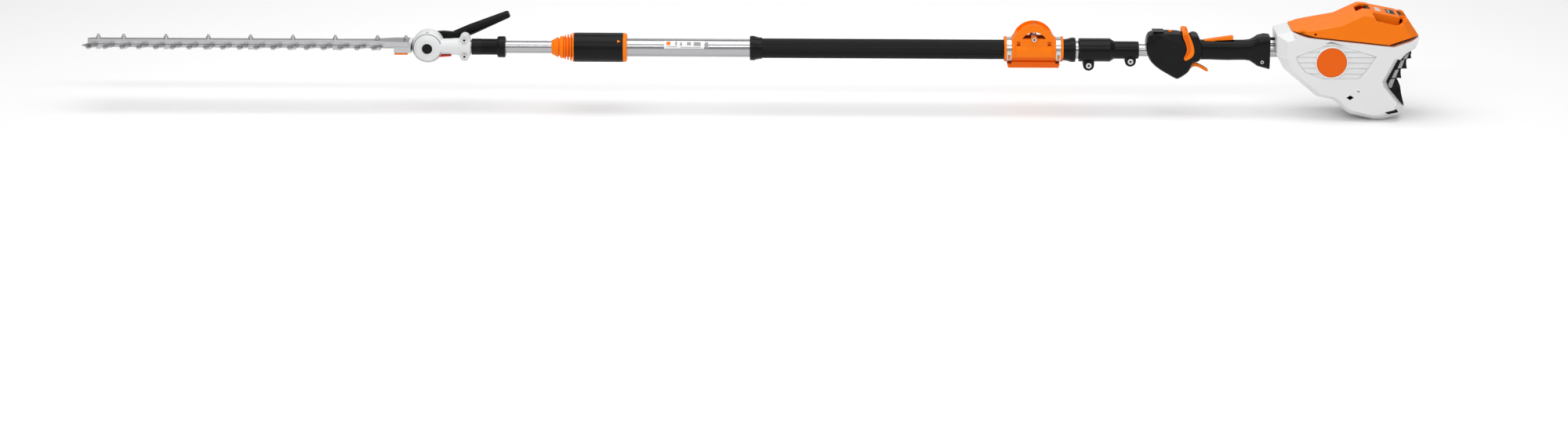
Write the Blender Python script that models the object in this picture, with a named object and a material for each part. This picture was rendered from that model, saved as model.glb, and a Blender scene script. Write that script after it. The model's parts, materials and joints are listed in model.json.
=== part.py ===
"""Long-reach telescopic cordless hedge trimmer, modelled as an assembly of separate pieces.

The pole lies along X: the cutter points to -X and the motor housing is at +X. +Z is up and Z = 0 is the
flat foot of the motor housing. Lengths below are in millimetres, and every mesh is scaled to metres once,
in make_object.
"""

import bpy
import bmesh
from math import atan2, cos, pi, radians, sin
from mathutils import Matrix, Vector

# ---------------------------------------------------------------- driving dimensions (mm)
MM = 0.001
AXIS_Z = 134.0            # height of the pole axis above the foot
GAP = 0.3                 # clearance between neighbouring faceted solids
SEGMENTS = 32             # facets round a tube

TUBE_R = 12.7             # inner and rear tube, outer radius
TUBE_WALL = 1.5
OUTER_R = 18.6            # telescopic outer tube, outer radius
HOSE_R = 20.1             # ribbed grip hose over the outer tube

TIP_X = -1364.0           # blade tips at mid stroke
TILT_X = -658.5           # cutter head tilt axis
CLAMP_X = -404.0          # front of the twist clamp
OUTER_TUBE = (-352.0, 677.0)
INNER_TUBE = (-598.0, 400.0)
REAR_TUBE = (705.0, 1112.0)

TOOTH_PITCH = 34.4
TEETH = 18
THROW = 5.15              # each blade moves this far either side of mid stroke
BOLT_X = (-1334.9, *(-1283.0 + 86.9 * k for k in range(7)))

# ---------------------------------------------------------------- colours
FINISHES = {
    "white_plastic": ((0.86, 0.87, 0.87), 0.45, 0.0),
    "orange_plastic": ((0.90, 0.24, 0.01), 0.42, 0.0),
    "black_plastic": ((0.025, 0.026, 0.027), 0.5, 0.0),
    "black_rubber": ((0.03, 0.032, 0.032), 0.75, 0.0),
    "aluminium": ((0.78, 0.78, 0.79), 0.25, 1.0),
    "steel": ((0.62, 0.62, 0.63), 0.3, 1.0),
    "cast_white": ((0.80, 0.81, 0.82), 0.5, 0.0),
    "filter_felt": ((0.45, 0.46, 0.46), 0.9, 0.0),
    "copper": ((0.60, 0.28, 0.12), 0.4, 1.0),
    "board_green": ((0.03, 0.16, 0.07), 0.5, 0.0),
}


# ---------------------------------------------------------------- helpers
def clear_scene():
    for old in list(bpy.data.objects):
        bpy.data.objects.remove(old)


def material(finish):
    made = bpy.data.materials.get(finish)
    if made:
        return made
    colour, roughness, metallic = FINISHES[finish]
    made = bpy.data.materials.new(finish)
    made.use_nodes = True
    shader = made.node_tree.nodes["Principled BSDF"]
    shader.inputs["Base Color"].default_value = (*colour, 1.0)
    shader.inputs["Roughness"].default_value = roughness
    shader.inputs["Metallic"].default_value = metallic
    return made


def make_object(name, bm, finish=None, smooth=False):
    """Closes a bmesh in millimetres into a named object in metres, placed at height AXIS_Z."""
    bmesh.ops.remove_doubles(bm, verts=bm.verts, dist=0.001)
    bmesh.ops.recalc_face_normals(bm, faces=bm.faces)
    bmesh.ops.translate(bm, verts=bm.verts, vec=(0, 0, AXIS_Z))
    bmesh.ops.scale(bm, verts=bm.verts, vec=(MM, MM, MM))
    mesh = bpy.data.meshes.new(name)
    bm.to_mesh(mesh)
    bm.free()
    made = bpy.data.objects.new(name, mesh)
    bpy.context.scene.collection.objects.link(made)
    if finish:
        mesh.materials.append(material(finish))
    if smooth:
        mesh.shade_smooth()
        mesh.set_sharp_from_angle(angle=radians(35))
    return made


def weld(mesh):
    """Joins points that coincide, and says whether every edge then has two faces."""
    bm = bmesh.new()
    bm.from_mesh(mesh)
    bmesh.ops.remove_doubles(bm, verts=bm.verts, dist=1e-6)
    bmesh.ops.dissolve_degenerate(bm, edges=bm.edges, dist=1e-6)
    closed = all(len(edge.link_faces) == 2 for edge in bm.edges)
    bm.to_mesh(mesh)
    bm.free()
    return closed


def apply_boolean(target, other, operation):
    """Cuts, joins or intersects other with target, bakes the result into target and removes other."""
    modifier = target.modifiers.new(operation.lower(), "BOOLEAN")
    modifier.operation = operation
    modifier.object = other
    for solver in ("EXACT", "MANIFOLD"):
        modifier.solver = solver
        bpy.context.view_layer.update()
        graph = bpy.context.evaluated_depsgraph_get()
        baked = bpy.data.meshes.new_from_object(target.evaluated_get(graph))
        if weld(baked):
            break
    target.modifiers.clear()
    old = target.data
    target.data = baked
    bpy.data.meshes.remove(old)
    bpy.data.objects.remove(other)
    return target


def cut(target, *others):
    for other in others:
        apply_boolean(target, other, "DIFFERENCE")
    return target


def join(target, *others):
    for other in others:
        apply_boolean(target, other, "UNION")
    return target


def keep(target, other):
    return apply_boolean(target, other, "INTERSECT")


def copy_of(source, name):
    made = source.copy()
    made.data = source.data.copy()
    made.name = name
    bpy.context.scene.collection.objects.link(made)
    return made


def loft_mesh(sections, ring=False):
    """A closed bmesh through rings of points that all have the same count: with end caps, or joined end to end."""
    bm = bmesh.new()
    rings = [[bm.verts.new(p) for p in section] for section in sections]
    count = len(rings[0])
    pairs = list(zip(rings, rings[1:])) + ([(rings[-1], rings[0])] if ring else [])
    for low, high in pairs:
        for i in range(count):
            j = (i + 1) % count
            bm.faces.new((low[i], low[j], high[j], high[i]))
    if not ring:
        bm.faces.new(reversed(rings[0]))
        bm.faces.new(rings[-1])
    return bm


def prism(name, outline, y_low, y_high, finish=None):
    """An X-Z outline extruded along Y."""
    rings = [[(x, y, z) for x, z in outline] for y in (y_low, y_high)]
    return make_object(name, loft_mesh(rings), finish)


def slab(name, outline, z_low, z_high, finish=None):
    """An X-Y outline extruded along Z."""
    rings = [[(x, y, z) for x, y in outline] for z in (z_low, z_high)]
    return make_object(name, loft_mesh(rings), finish)


def block(name, low, high, finish=None):
    (x0, y0, z0), (x1, y1, z1) = low, high
    return prism(name, [(x0, z0), (x1, z0), (x1, z1), (x0, z1)], y0, y1, finish)


def turned(name, profile, finish=None, closed=True, axis="X", centre=(0, 0, 0), segments=SEGMENTS):
    """Turns a profile of (along, radius) points about an axis. closed=True makes a ring, else a solid with end caps."""
    rings = []
    for along, radius in profile:
        turns = [2 * pi * i / segments for i in range(segments)]
        rings.append([(along, radius * cos(a), radius * sin(a)) for a in turns])
    bm = loft_mesh(rings, closed)
    if axis == "Y":
        bmesh.ops.rotate(bm, verts=bm.verts, cent=(0, 0, 0), matrix=Matrix.Rotation(pi / 2, 3, "Z"))
    if axis == "Z":
        bmesh.ops.rotate(bm, verts=bm.verts, cent=(0, 0, 0), matrix=Matrix.Rotation(-pi / 2, 3, "Y"))
    bmesh.ops.translate(bm, verts=bm.verts, vec=centre)
    return make_object(name, bm, finish, smooth=True)


def tube(name, start, end, r_out, r_in, finish=None, **where):
    return turned(name, [(start, r_in), (end, r_in), (end, r_out), (start, r_out)], finish, **where)


def rod(name, start, end, radius, finish=None, **where):
    return turned(name, [(start, radius), (end, radius)], finish, closed=False, **where)


def inset_outline(points, distance):
    """Moves every side of a clockwise (x, z) outline inwards by distance, mitring the corners."""
    count = len(points)
    moved = []
    for i in range(count):
        before, here, after = points[i - 1], points[i], points[(i + 1) % count]
        d0 = Vector((here[0] - before[0], here[1] - before[1])).normalized()
        d1 = Vector((after[0] - here[0], after[1] - here[1])).normalized()
        n0, n1 = Vector((d0.y, -d0.x)), Vector((d1.y, -d1.x))
        mitre = (n0 + n1) / (1 + n0.dot(n1))
        moved.append((here[0] + mitre.x * distance, here[1] + mitre.y * distance))
    return moved


def joint_origin(name, position):
    """An empty on a joint's axis; the pieces of the moving body are parented to it."""
    empty = bpy.data.objects.new(name, None)
    empty.location = Vector(position) * MM + Vector((0, 0, AXIS_Z * MM))
    bpy.context.scene.collection.objects.link(empty)
    return empty


def hang_on(empty, *pieces):
    bpy.context.view_layer.update()
    for piece in pieces:
        piece.parent = empty
        piece.matrix_parent_inverse = empty.matrix_world.inverted()


# ---------------------------------------------------------------- cutter: bar, blades
BAR_HALF = 6.75           # guide bar half width
BAR_Z = (3.6, 13.6)       # guide bar bottom and top, above the pole axis
CARRIER_HALF = 20.5       # half width of the blade carrier beside the joint
UPPER_BLADE_Z = (0.5, 3.2)
LOWER_BLADE_Z = (-2.6, 0.1)
TOOTH_TIP_Y = 27.0
BLADE_BODY_Y = 10.0
BLADE_REAR_X = -698.5
FIRST_TOOTH_X = -1347.5
BLADE_BOLT_R = 2.8
YOKE_R = (17.7, 20.5)


def mirrored(half):
    """Closes a half outline of (x, y) points, y > 0, with its mirror image below."""
    return half + [(x, -y) for x, y in reversed(half)]


def blade_outline(shift):
    """The X-Y outline of one reciprocating blade: a strip with a row of teeth along both edges."""
    half = [(TIP_X + shift, 1.5), (TIP_X + 5.0 + shift, 4.0), (TIP_X + 7.5 + shift, BLADE_BODY_Y)]
    for i in range(TEETH):
        centre = FIRST_TOOTH_X + i * TOOTH_PITCH + shift
        half += [(centre - 7.5, BLADE_BODY_Y), (centre - 3.0, TOOTH_TIP_Y), (centre + 3.0, TOOTH_TIP_Y)]
        half += [(centre + 7.5, BLADE_BODY_Y)]
    return mirrored(half + [(BLADE_REAR_X + shift, BLADE_BODY_Y)])


def build_blade(name, z_range, shift, rod_y):
    """A blade with its drive bar and the yoke that goes round its eccentric."""
    z_low, z_high = z_range
    blade = slab(name, blade_outline(shift), z_low, z_high, "steel")
    reach = THROW + BLADE_BOLT_R + 0.5
    for x in BOLT_X:
        slot = mirrored([(x + shift - reach, BLADE_BOLT_R + 0.4), (x + shift + reach, BLADE_BOLT_R + 0.4)])
        cut(blade, slab("slot", slot, z_low - 1, z_high + 1))
    near, far = rod_y
    rear = BLADE_REAR_X + shift
    tab = block("tab", (rear - 7.5, 0.0, z_low), (rear, far, z_high))
    bar = block("bar", (rear - 7.5, near, z_low), (TILT_X + shift - YOKE_R[0] - 1.0, far, z_high))
    yoke = tube("yoke", near, far, YOKE_R[1], YOKE_R[0], axis="Y", centre=(TILT_X + shift, 0, 0), segments=24)
    return join(blade, tab, bar, yoke)


def blade_bolt(x, clinched=False):
    """Bolt, lower head and upper nut that hold the blades under the bar."""
    top = rod("nut", BAR_Z[1] - 0.5, BAR_Z[1] + 5.0, 4.9, axis="Z", centre=(x, 0, 0), segments=12)
    crown = rod("crown", BAR_Z[1] + 4.0, BAR_Z[1] + 9.0, 2.9, axis="Z", centre=(x, 0, 0), segments=12)
    join(top, crown)
    if clinched:
        return [top]
    stem = rod("stem", -7.0, BAR_Z[0] + 2, BLADE_BOLT_R, axis="Z", centre=(x, 0, 0), segments=12)
    head = rod("head", -7.2, LOWER_BLADE_Z[0] - GAP, 6.4, axis="Z", centre=(x, 0, 0), segments=16)
    return [top, join(stem, head)]


def build_guide_bar():
    """Bar over the blades that flares into the blade carrier, with the blade bolts fixed through it."""
    rear = -696.5
    half = [(-1357.0, 2.5), (-1350.0, BAR_HALF), (-837.0, BAR_HALF), (-770.0, 9.0), (-727.0, CARRIER_HALF)]
    half += [(rear, CARRIER_HALF)]
    bar = slab("guide_bar", mirrored(half), *BAR_Z, "aluminium")
    for x in BOLT_X:
        join(bar, *blade_bolt(x))
    join(bar, *blade_bolt(-703.2, clinched=True))
    return bar


def build_cutter():
    guide_bar = build_guide_bar()
    upper = build_blade("upper_blade", UPPER_BLADE_Z, THROW, (10.6, 13.4))
    lower = build_blade("lower_blade", LOWER_BLADE_Z, -THROW, (14.6, 17.4))
    return guide_bar, upper, lower


# ---------------------------------------------------------------- tilting head and fixed joint housing
DRUM_R = 33.0
SPLIT_Y = 9.0             # plane between the fixed drum and the tilting drum
HEAD_FACE_Y = 24.0
CAP_Y = -22.0
NECK_R = 16.5
NECK_END_X = -570.5
JOINT_SCREW_X = -582.5
JOINT_SCREW_Z = 17.3
INDEX_STEP = 15           # degrees between the index holes
PIN_Y = 14.85
PIN_R = 1.2


def build_head_case():
    """The tilting drum with the carrier block that reaches round the fixed drum."""
    pivot = (TILT_X, 0, 0)
    drum = rod("head_case", SPLIT_Y + 0.5, HEAD_FACE_Y, DRUM_R - 1.0, "cast_white", axis="Y", centre=pivot)
    side = [(-727.0, -9.0), (-727.0, BAR_Z[0] - GAP), (-696.2, BAR_Z[0] - GAP), (-696.2, BAR_Z[1])]
    side += [(TILT_X - 10.0, BAR_Z[1]), (TILT_X - 10.0, -9.0)]
    join(drum, prism("carrier", side, -CARRIER_HALF, CARRIER_HALF))
    cut(drum, rod("clear", -40.0, SPLIT_Y + 0.5, DRUM_R + 1.2, axis="Y", centre=pivot))
    cut(drum, rod("hollow", SPLIT_Y - 1, HEAD_FACE_Y - 2.5, 26.5, axis="Y", centre=pivot))
    cut(drum, block("blade_way", (-740.0, -12.0, -5.5), (-681.0, 18.2, BAR_Z[0] + 1)))
    cut(drum, block("rod_way", (-700.0, 10.0, -5.2), (TILT_X - 15.0, 18.0, BAR_Z[0] + 0.6)))
    for angle in range(-90, 46, INDEX_STEP):
        hole = rod("hole", 24.0, 38.0, PIN_R + 0.4, segments=8)
        turn = Matrix.Rotation(radians(-angle), 4, "Y")
        place = Matrix.Translation((TILT_X * MM, PIN_Y * MM, AXIS_Z * MM)) @ turn
        hole.data.transform(place @ Matrix.Translation((0, 0, -AXIS_Z * MM)))
        cut(drum, hole)
    cut(drum, rod("guard_hole", -12.0, -6.0, 2.5, axis="Z", centre=(-712.0, 0, 0), segments=12))
    return drum


def build_joint_housing():
    """Fixed near half: domed drum, half of the neck and its clamp bosses."""
    dome = [(CAP_Y + 2.0, 14.5), (CAP_Y + 4.0, 22.0), (CAP_Y + 9.0, 29.5), (CAP_Y + 16.0, DRUM_R), (SPLIT_Y, DRUM_R)]
    housing = turned("joint_housing", dome, "cast_white", closed=False, axis="Y", centre=(TILT_X, 0, 0))
    join(housing, neck_half("neck", -1))
    hollow = rod("hollow", -14.0, SPLIT_Y + 2, DRUM_R - 4.0, axis="Y", centre=(TILT_X, 0, 0))
    cut(housing, hollow, neck_bore())
    cut(housing, rod("pivot_bore", CAP_Y - 2, 0, 7.5, axis="Y", centre=(TILT_X, 0, 0)))
    cut(housing, *[joint_screw_hole(z) for z in (-JOINT_SCREW_Z, JOINT_SCREW_Z)])
    return housing


def neck_half(name, side):
    """Half of the pole clamp on one side of the Y = 0 plane, side = -1 near or +1 far."""
    start = TILT_X + (20.0 if side < 0 else DRUM_R + 1.5)
    ring = [(start, NECK_R), (-614.0, NECK_R), (-602.0, 17.5), (NECK_END_X, 17.5)]
    neck = turned(name, ring, closed=False)
    boss_y = 13.0
    for z in (-JOINT_SCREW_Z, JOINT_SCREW_Z):
        boss = rod("boss", -boss_y, boss_y, 10.4, axis="Y", centre=(JOINT_SCREW_X, 0, z), segments=20)
        join(neck, boss)
    lug = block("lug", (-594.0, -12.5, -17.0), (NECK_END_X - 1.0, 12.5, 17.0))
    join(neck, lug)
    low, high = ((-60.0, -GAP / 2) if side < 0 else (GAP / 2, 60.0))
    return keep(neck, block("half", (-700.0, low, -60.0), (-500.0, high, 60.0)))


def neck_bore():
    return turned(
        "bore",
        [(TILT_X + 10.0, 11.0), (INNER_TUBE[0] - 0.5, 11.0), (INNER_TUBE[0] - 0.5, TUBE_R + GAP),
         (NECK_END_X + 5.0, TUBE_R + GAP)],
        closed=False,
    )


def joint_screw_hole(z):
    return rod("hole", -40.0, 40.0, 2.8, axis="Y", centre=(JOINT_SCREW_X, 0, z), segments=16)


def build_clamp_cap():
    cap = neck_half("clamp_cap", 1)
    cap.data.materials.clear()
    cap.data.materials.append(material("cast_white"))
    rib = block("rib", (TILT_X + DRUM_R + 1.5, 11.5, -4.5), (NECK_END_X - 1.0, 19.0, 4.5))
    join(cap, rib)
    cut(cap, neck_bore())
    cut(cap, rod("pin_way", -640.0, NECK_END_X + 5, PIN_R + GAP, centre=(0, PIN_Y, 0), segments=16))
    cut(cap, *[joint_screw_hole(z) for z in (-JOINT_SCREW_Z, JOINT_SCREW_Z)])
    return cap


def build_joint_screw(name, z):
    screw = rod(name, -13.5, 11.0, 2.4, "steel", axis="Y", centre=(JOINT_SCREW_X, 0, z), segments=16)
    head = rod("head", -17.5, -13.3, 5.4, axis="Y", centre=(JOINT_SCREW_X, 0, z), segments=20)
    join(screw, head)
    socket = rod("socket", -18.5, -15.5, 2.4, axis="Y", centre=(JOINT_SCREW_X, 0, z), segments=6)
    return cut(screw, socket)


def build_swivel_lever():
    """Arm bolted to the outer face of the tilting drum, with a tapering hand grip."""
    y_low, y_high = HEAD_FACE_Y + GAP, 33.0
    arm_line = [(TILT_X + 2, 24.0), (TILT_X + 30, 26.0), (-601.0, 24.0), (-594.0, 8.0), (-612.0, 4.0)]
    arm_line += [(TILT_X + 30, 4.0), (TILT_X + 12, -6.0), (TILT_X - 8, -2.0), (TILT_X - 10, 14.0)]
    arm = prism("swivel_lever", arm_line, y_low, y_high, "black_plastic")
    root, tip = Vector((-606.0, 34.0, 14.0)), Vector((-493.0, 34.0, 62.0))
    along = (tip - root).normalized()
    across = Vector((-along.z, 0, along.x))
    rings = []
    for share, tall, wide in ((0, 11.0, 10.0), (0.3, 11.5, 10.5), (0.7, 9.4, 9.5), (0.97, 8.0, 8.4), (1.0, 6.0, 6.5)):
        centre = root.lerp(tip, share)
        ring = []
        for i in range(16):
            a = 2 * pi * i / 16
            ring.append(centre + across * (tall * sin(a)) + Vector((0, wide * cos(a), 0)))
        rings.append(ring)
    return join(arm, make_object("grip", loft_mesh(rings)))


def build_base_guard():
    """Wear shoe under the blade carrier, held by one screw from below."""
    guard = block("base_guard", (-726.0, -17.0, -14.0), (-699.0, 17.0, -9.0 - GAP), "orange_plastic")
    cut(guard, rod("hole", -30.0, 0.0, 2.6, axis="Z", centre=(-712.0, 0, 0), segments=12))
    screw = rod("guard_screw", -14.5, -7.5, 2.2, "steel", axis="Z", centre=(-712.0, 0, 0), segments=12)
    return guard, join(screw, rod("head", -17.3, -14.3, 4.5, axis="Z", centre=(-712.0, 0, 0), segments=12))


def build_pivot_cap():
    head = turned(
        "pivot_cap",
        [(CAP_Y - 1.5, 8.0), (CAP_Y - 0.6, 10.6), (CAP_Y + 1.7, 11.0)],
        "black_plastic", closed=False, axis="Y", centre=(TILT_X, 0, 0),
    )
    return join(head, rod("stem", CAP_Y + 1.5, -15.0, 7.0, axis="Y", centre=(TILT_X, 0, 0), segments=20))


# ---------------------------------------------------------------- gears and shafts
PINION_TEETH = 12
CROWN_TEETH = 36
CROWN_R = 21.0
PINION_R = CROWN_R * PINION_TEETH / CROWN_TEETH
TOOTH_DEPTH = 1.0
HEX_SOLID_R = 5.4
HEX_HOLE_R = 5.9
SHAFT_REAR = (-300.0, 1140.0)
SHAFT_FRONT = (-627.0, 480.0)


def gear_ring(teeth, radius, depth, phase):
    """Points round a gear: a narrow tip and a wide root for each tooth."""
    ring = []
    tip, root = radius + depth / 2, radius - 0.7 * depth
    for i in range(teeth):
        start = 2 * pi * i / teeth + phase
        for share, r in ((-0.14, tip), (0.14, tip), (0.30, root), (0.70, root)):
            a = start + share * 2 * pi / teeth
            ring.append((r * cos(a), r * sin(a)))
    return ring


def bevel_mesh(teeth, radius, mate_radius, face, phase):
    """Straight bevel gear about +X with its apex at the origin and its big end at x = mate_radius."""
    slope = cos(atan2(radius, mate_radius))
    rings = []
    for share in (1.0, 1.0 - face / mate_radius):
        ring = gear_ring(teeth, radius * share, TOOTH_DEPTH * share / slope, phase)
        rings.append([(mate_radius * share, y, z) for y, z in ring])
    return loft_mesh(rings)


def build_pinion_shaft():
    """Front drive shaft: a hexagonal bar with the bevel pinion on its front end."""
    bm = bevel_mesh(PINION_TEETH, PINION_R, CROWN_R, 7.0, 0.0)
    bmesh.ops.translate(bm, verts=bm.verts, vec=(TILT_X, 0, 0))
    pinion = make_object("drive_shaft_front", bm, "steel")
    bar = rod("bar", TILT_X + CROWN_R - 1.0, SHAFT_FRONT[1], HEX_SOLID_R, segments=6)
    return join(pinion, bar)


def build_crank_gear():
    """Crown gear on the tilt axis with the two eccentric discs that drive the blades."""
    phase = pi / CROWN_TEETH
    bm = bevel_mesh(CROWN_TEETH, CROWN_R, PINION_R, 7.0 * PINION_R / CROWN_R, phase)
    turn = Matrix.Rotation(pi / 2, 3, "Z")
    bmesh.ops.rotate(bm, verts=bm.verts, cent=(0, 0, 0), matrix=turn)
    bmesh.ops.translate(bm, verts=bm.verts, vec=(TILT_X, 0, 0))
    gear = make_object("crank_gear", bm, "steel")
    shaft = rod("shaft", -13.5, 20.0, 4.5, axis="Y", centre=(TILT_X, 0, 0), segments=16)
    upper = rod("upper", 10.6, 13.4, 7.0, axis="Y", centre=(TILT_X + THROW, 0, 0), segments=20)
    lower = rod("lower", 14.6, 17.4, 7.0, axis="Y", centre=(TILT_X - THROW, 0, 0), segments=20)
    return join(gear, shaft, upper, lower)


def build_shafts():
    rear = rod("drive_shaft_rear", *SHAFT_REAR, 8.2, "steel", segments=20)
    cut(rear, rod("hex", SHAFT_REAR[0] - 5, 520.0, HEX_HOLE_R + 0.2, segments=6))
    front_bush = tube("shaft_bush_front", -594.0, -580.0, TUBE_R - TUBE_WALL - 0.1, HEX_SOLID_R + 0.25, "black_plastic")
    return rear, front_bush


# ---------------------------------------------------------------- lock sleeve and tubes
def build_lock():
    start, rim, end = -568.5, -514.0, -498.5
    profile = [(start, TUBE_R + GAP), (end, TUBE_R + GAP), (end, 20.6), (end - 2.0, 21.8), (rim + 1.5, 21.8)]
    profile += [(rim, 20.2), (rim, 16.65), (start, 16.65)]
    sleeve = turned("lock_sleeve", profile, "black_rubber")
    cut(sleeve, rod("socket", start - 1, start + 8.0, PIN_R + 0.2, centre=(0, PIN_Y, 0), segments=12))
    pin = rod("lock_pin", TILT_X + DRUM_R - 4.0, start + 7.0, PIN_R, "steel", centre=(0, PIN_Y, 0), segments=12)
    return sleeve, pin


def build_tubes():
    inner = tube("inner_tube", *INNER_TUBE, TUBE_R, TUBE_R - TUBE_WALL, "aluminium")
    outer = tube("outer_tube", *OUTER_TUBE, OUTER_R, OUTER_R - TUBE_WALL, "aluminium")
    rear = tube("rear_tube", *REAR_TUBE, TUBE_R, TUBE_R - TUBE_WALL, "aluminium")
    guide = tube("guide_bush", INNER_TUBE[1] - 30.0, INNER_TUBE[1], OUTER_R - TUBE_WALL - 0.15, TUBE_R + GAP / 3,
                 "black_plastic")
    return inner, outer, rear, guide


def build_hose():
    hose = tube("grip_hose", 14.0, 654.0, HOSE_R, OUTER_R + GAP, "black_rubber")
    return hose


def build_collar(name, start, direction):
    """Clamp collar at one end of the grip hose. direction is +1 when its lip faces the cutter."""
    steps = [(0.0, 24.2), (1.6, 25.3), (8.5, 25.3), (12.0, 24.0), (18.5, 22.4), (25.0, 22.0)]
    outer = [(start + direction * along, radius) for along, radius in steps]
    end = start + direction * 25.0
    step_x = start + direction * 9.0
    bore = [(end, HOSE_R + GAP), (step_x, HOSE_R + GAP), (step_x, OUTER_R + GAP), (start, OUTER_R + GAP)]
    collar = turned(name, outer + bore, "black_plastic")
    x = start + direction * 6.5
    recess = rod("recess", -40.0, -19.0, 3.0, axis="Y", centre=(x, 0, -17.0), segments=16)
    return cut(collar, recess)


# ---------------------------------------------------------------- twist clamp
def build_twist_clamp():
    bore = TUBE_R + GAP
    profile = [(CLAMP_X, bore + 1.0), (CLAMP_X + 4.0, 16.0), (CLAMP_X + 11.0, 20.0), (CLAMP_X + 14.0, 20.2)]
    profile += [(CLAMP_X + 14.5, 17.5), (CLAMP_X + 16.5, 17.5), (CLAMP_X + 17.0, 21.5), (CLAMP_X + 20.0, 22.9)]
    profile += [(CLAMP_X + 24.0, 22.9)]
    for x, radius in ((27.5, 24.8), (33.5, 26.6), (39.5, 28.2)):
        root = CLAMP_X + x
        profile += [(root - 1.6, 20.2), (root - 1.1, radius), (root + 1.1, radius), (root + 1.6, 20.2)]
    profile += [(CLAMP_X + 43.2, 20.2), (CLAMP_X + 43.4, 30.0), (CLAMP_X + 46.2, 30.0), (CLAMP_X + 46.2, 24.0)]
    profile += [(CLAMP_X + 140.0, 24.0), (CLAMP_X + 140.0, OUTER_R + GAP), (OUTER_TUBE[0] - 1.0, OUTER_R + GAP)]
    profile += [(OUTER_TUBE[0] - 1.0, bore), (CLAMP_X, bore)]
    cone = turned("clamp_collet", profile, "orange_plastic")
    grip = tube("clamp_grip", CLAMP_X + 46.5, CLAMP_X + 146.5, 30.1, 24.3, "black_rubber")
    ring = [(CLAMP_X + 146.8, 24.3), (CLAMP_X + 146.8, 30.0), (CLAMP_X + 151.5, 29.6), (CLAMP_X + 154.5, 27.6)]
    ring += [(CLAMP_X + 154.5, OUTER_R + GAP), (CLAMP_X + 140.3, OUTER_R + GAP), (CLAMP_X + 140.3, 24.3)]
    end_ring = turned("clamp_end_ring", ring, "orange_plastic")
    return cone, grip, end_ring


# ---------------------------------------------------------------- harness bracket
HARNESS_X = 585.0         # middle of the bracket along the pole
HARNESS_HALF = 60.5
ARCH_Y = 21.0
ARCH_CHORD_Z = 26.0
ARCH_TOP_Z = 56.6


def arc_points(centre_z, radius, half_angle, count):
    points = []
    for i in range(count + 1):
        a = half_angle - 2 * half_angle * i / count
        points.append((HARNESS_X - radius * sin(a), centre_z + radius * cos(a)))
    return points


def arch_outline(r_out, r_in, out_half, in_half, centre_z=14.0):
    outer = arc_points(centre_z, r_out, radians(out_half), 16)
    inner = arc_points(centre_z, r_in, radians(in_half), 12)
    return outer + list(reversed(inner))


def build_harness():
    half = HARNESS_HALF
    bore, skin, lip = HOSE_R + GAP, 24.5, 27.4
    profile = [(-half, bore), (-half, lip), (-55.4, lip), (-55.4, skin), (-45.0, skin), (-45.0, lip), (-40.0, lip),
               (-40.0, skin)]
    profile += [(-x, radius) for x, radius in reversed(profile)]
    shell = turned("harness_saddle", [(HARNESS_X + x, radius) for x, radius in profile], "orange_plastic")
    side = [(HARNESS_X - 43.5, 4.0), (HARNESS_X - 43.5, 24.2)] + arc_points(14.0, 42.6, radians(70), 20)
    side += [(HARNESS_X + 43.5, 24.2), (HARNESS_X + 43.5, 4.0)]
    join(shell, prism("arch", side, -ARCH_Y, ARCH_Y))
    groove = arch_outline(60.0, 36.5, 56.0, 56.0)
    cut(shell, prism("groove", groove, -ARCH_Y + 2.6, ARCH_Y - 2.6))
    cut(shell, prism("eye", arc_points(14.0, 27.5, radians(62.0), 16), -40.0, 40.0))
    cut(shell, rod("hose", 400.0, 700.0, bore + 0.05))
    cut(shell, block("top_slot", (HARNESS_X - 26.0, -12.0, 10.0), (HARNESS_X + 26.0, 12.0, 32.0)))
    cut(shell, block("below", (400.0, -60.0, -60.0), (700.0, 60.0, -12.0)))
    for side in (-1, 1):
        boss = rod("boss", side * 14.0, side * 23.5, 7.0, axis="Y", centre=(HARNESS_X, 0, 27.0), segments=20)
        join(shell, boss)
        x = HARNESS_X + side * 31.5
        cut(shell, block("window", (x - 3.5, -40.0, 12.5), (x + 3.5, -15.0, 21.5)))
    cut(shell, rod("pin_hole", -40.0, 40.0, 2.8, axis="Y", centre=(HARNESS_X, 0, 27.0), segments=16))
    cut(shell, block("tongue_slot", (HARNESS_X - 2.1, -15.0, 30.0), (HARNESS_X + 2.1, 15.0, 70.0)))
    keel = tube("harness_keel", HARNESS_X - half + 0.4, HARNESS_X + half - 0.4, 24.5, HOSE_R + GAP, "orange_plastic")
    foot = [(-45.0, -22.0), (45.0, -22.0), (45.0, -26.4), (54.0, -26.4), (52.0, -35.0), (-52.0, -35.0)]
    foot += [(-54.0, -26.4), (-45.0, -26.4)]
    join(keel, prism("foot", [(HARNESS_X + x, z) for x, z in foot], -15.0, 15.0))
    cut(keel, block("above", (400.0, -60.0, -12.0 - GAP), (700.0, 60.0, 60.0)))
    cut(keel, rod("hose", 400.0, 700.0, bore + 0.05))
    bands = []
    for name, side in (("harness_band_front", -1), ("harness_band_rear", 1)):
        x = HARNESS_X + side * 50.3
        bands.append(tube(name, x - 4.8, x + 4.8, 25.9, 24.8, "steel"))
    bolt = rod("harness_bolt", -24.5, 24.5, 2.4, "steel", axis="Y", centre=(HARNESS_X, 0, 27.0), segments=16)
    join(bolt, rod("head", -27.5, -24.0, 4.6, axis="Y", centre=(HARNESS_X, 0, 27.0), segments=20))
    join(bolt, rod("nut", 24.0, 27.5, 4.6, axis="Y", centre=(HARNESS_X, 0, 27.0), segments=6))
    eye = block("harness_eye", (HARNESS_X - 1.8, -11.0, 24.5), (HARNESS_X + 1.8, 11.0, 54.0), "steel")
    join(eye, rod("barrel", -11.4, 11.4, 4.6, axis="Y", centre=(HARNESS_X, 0, 27.0), segments=20))
    cut(eye, rod("hole", -40.0, 40.0, 2.8, axis="Y", centre=(HARNESS_X, 0, 27.0), segments=16))
    cut(eye, block("relief", (HARNESS_X - 5.0, -4.0, 34.0), (HARNESS_X + 5.0, 4.0, 48.0)))
    return shell, keel, bands, bolt, eye


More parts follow.
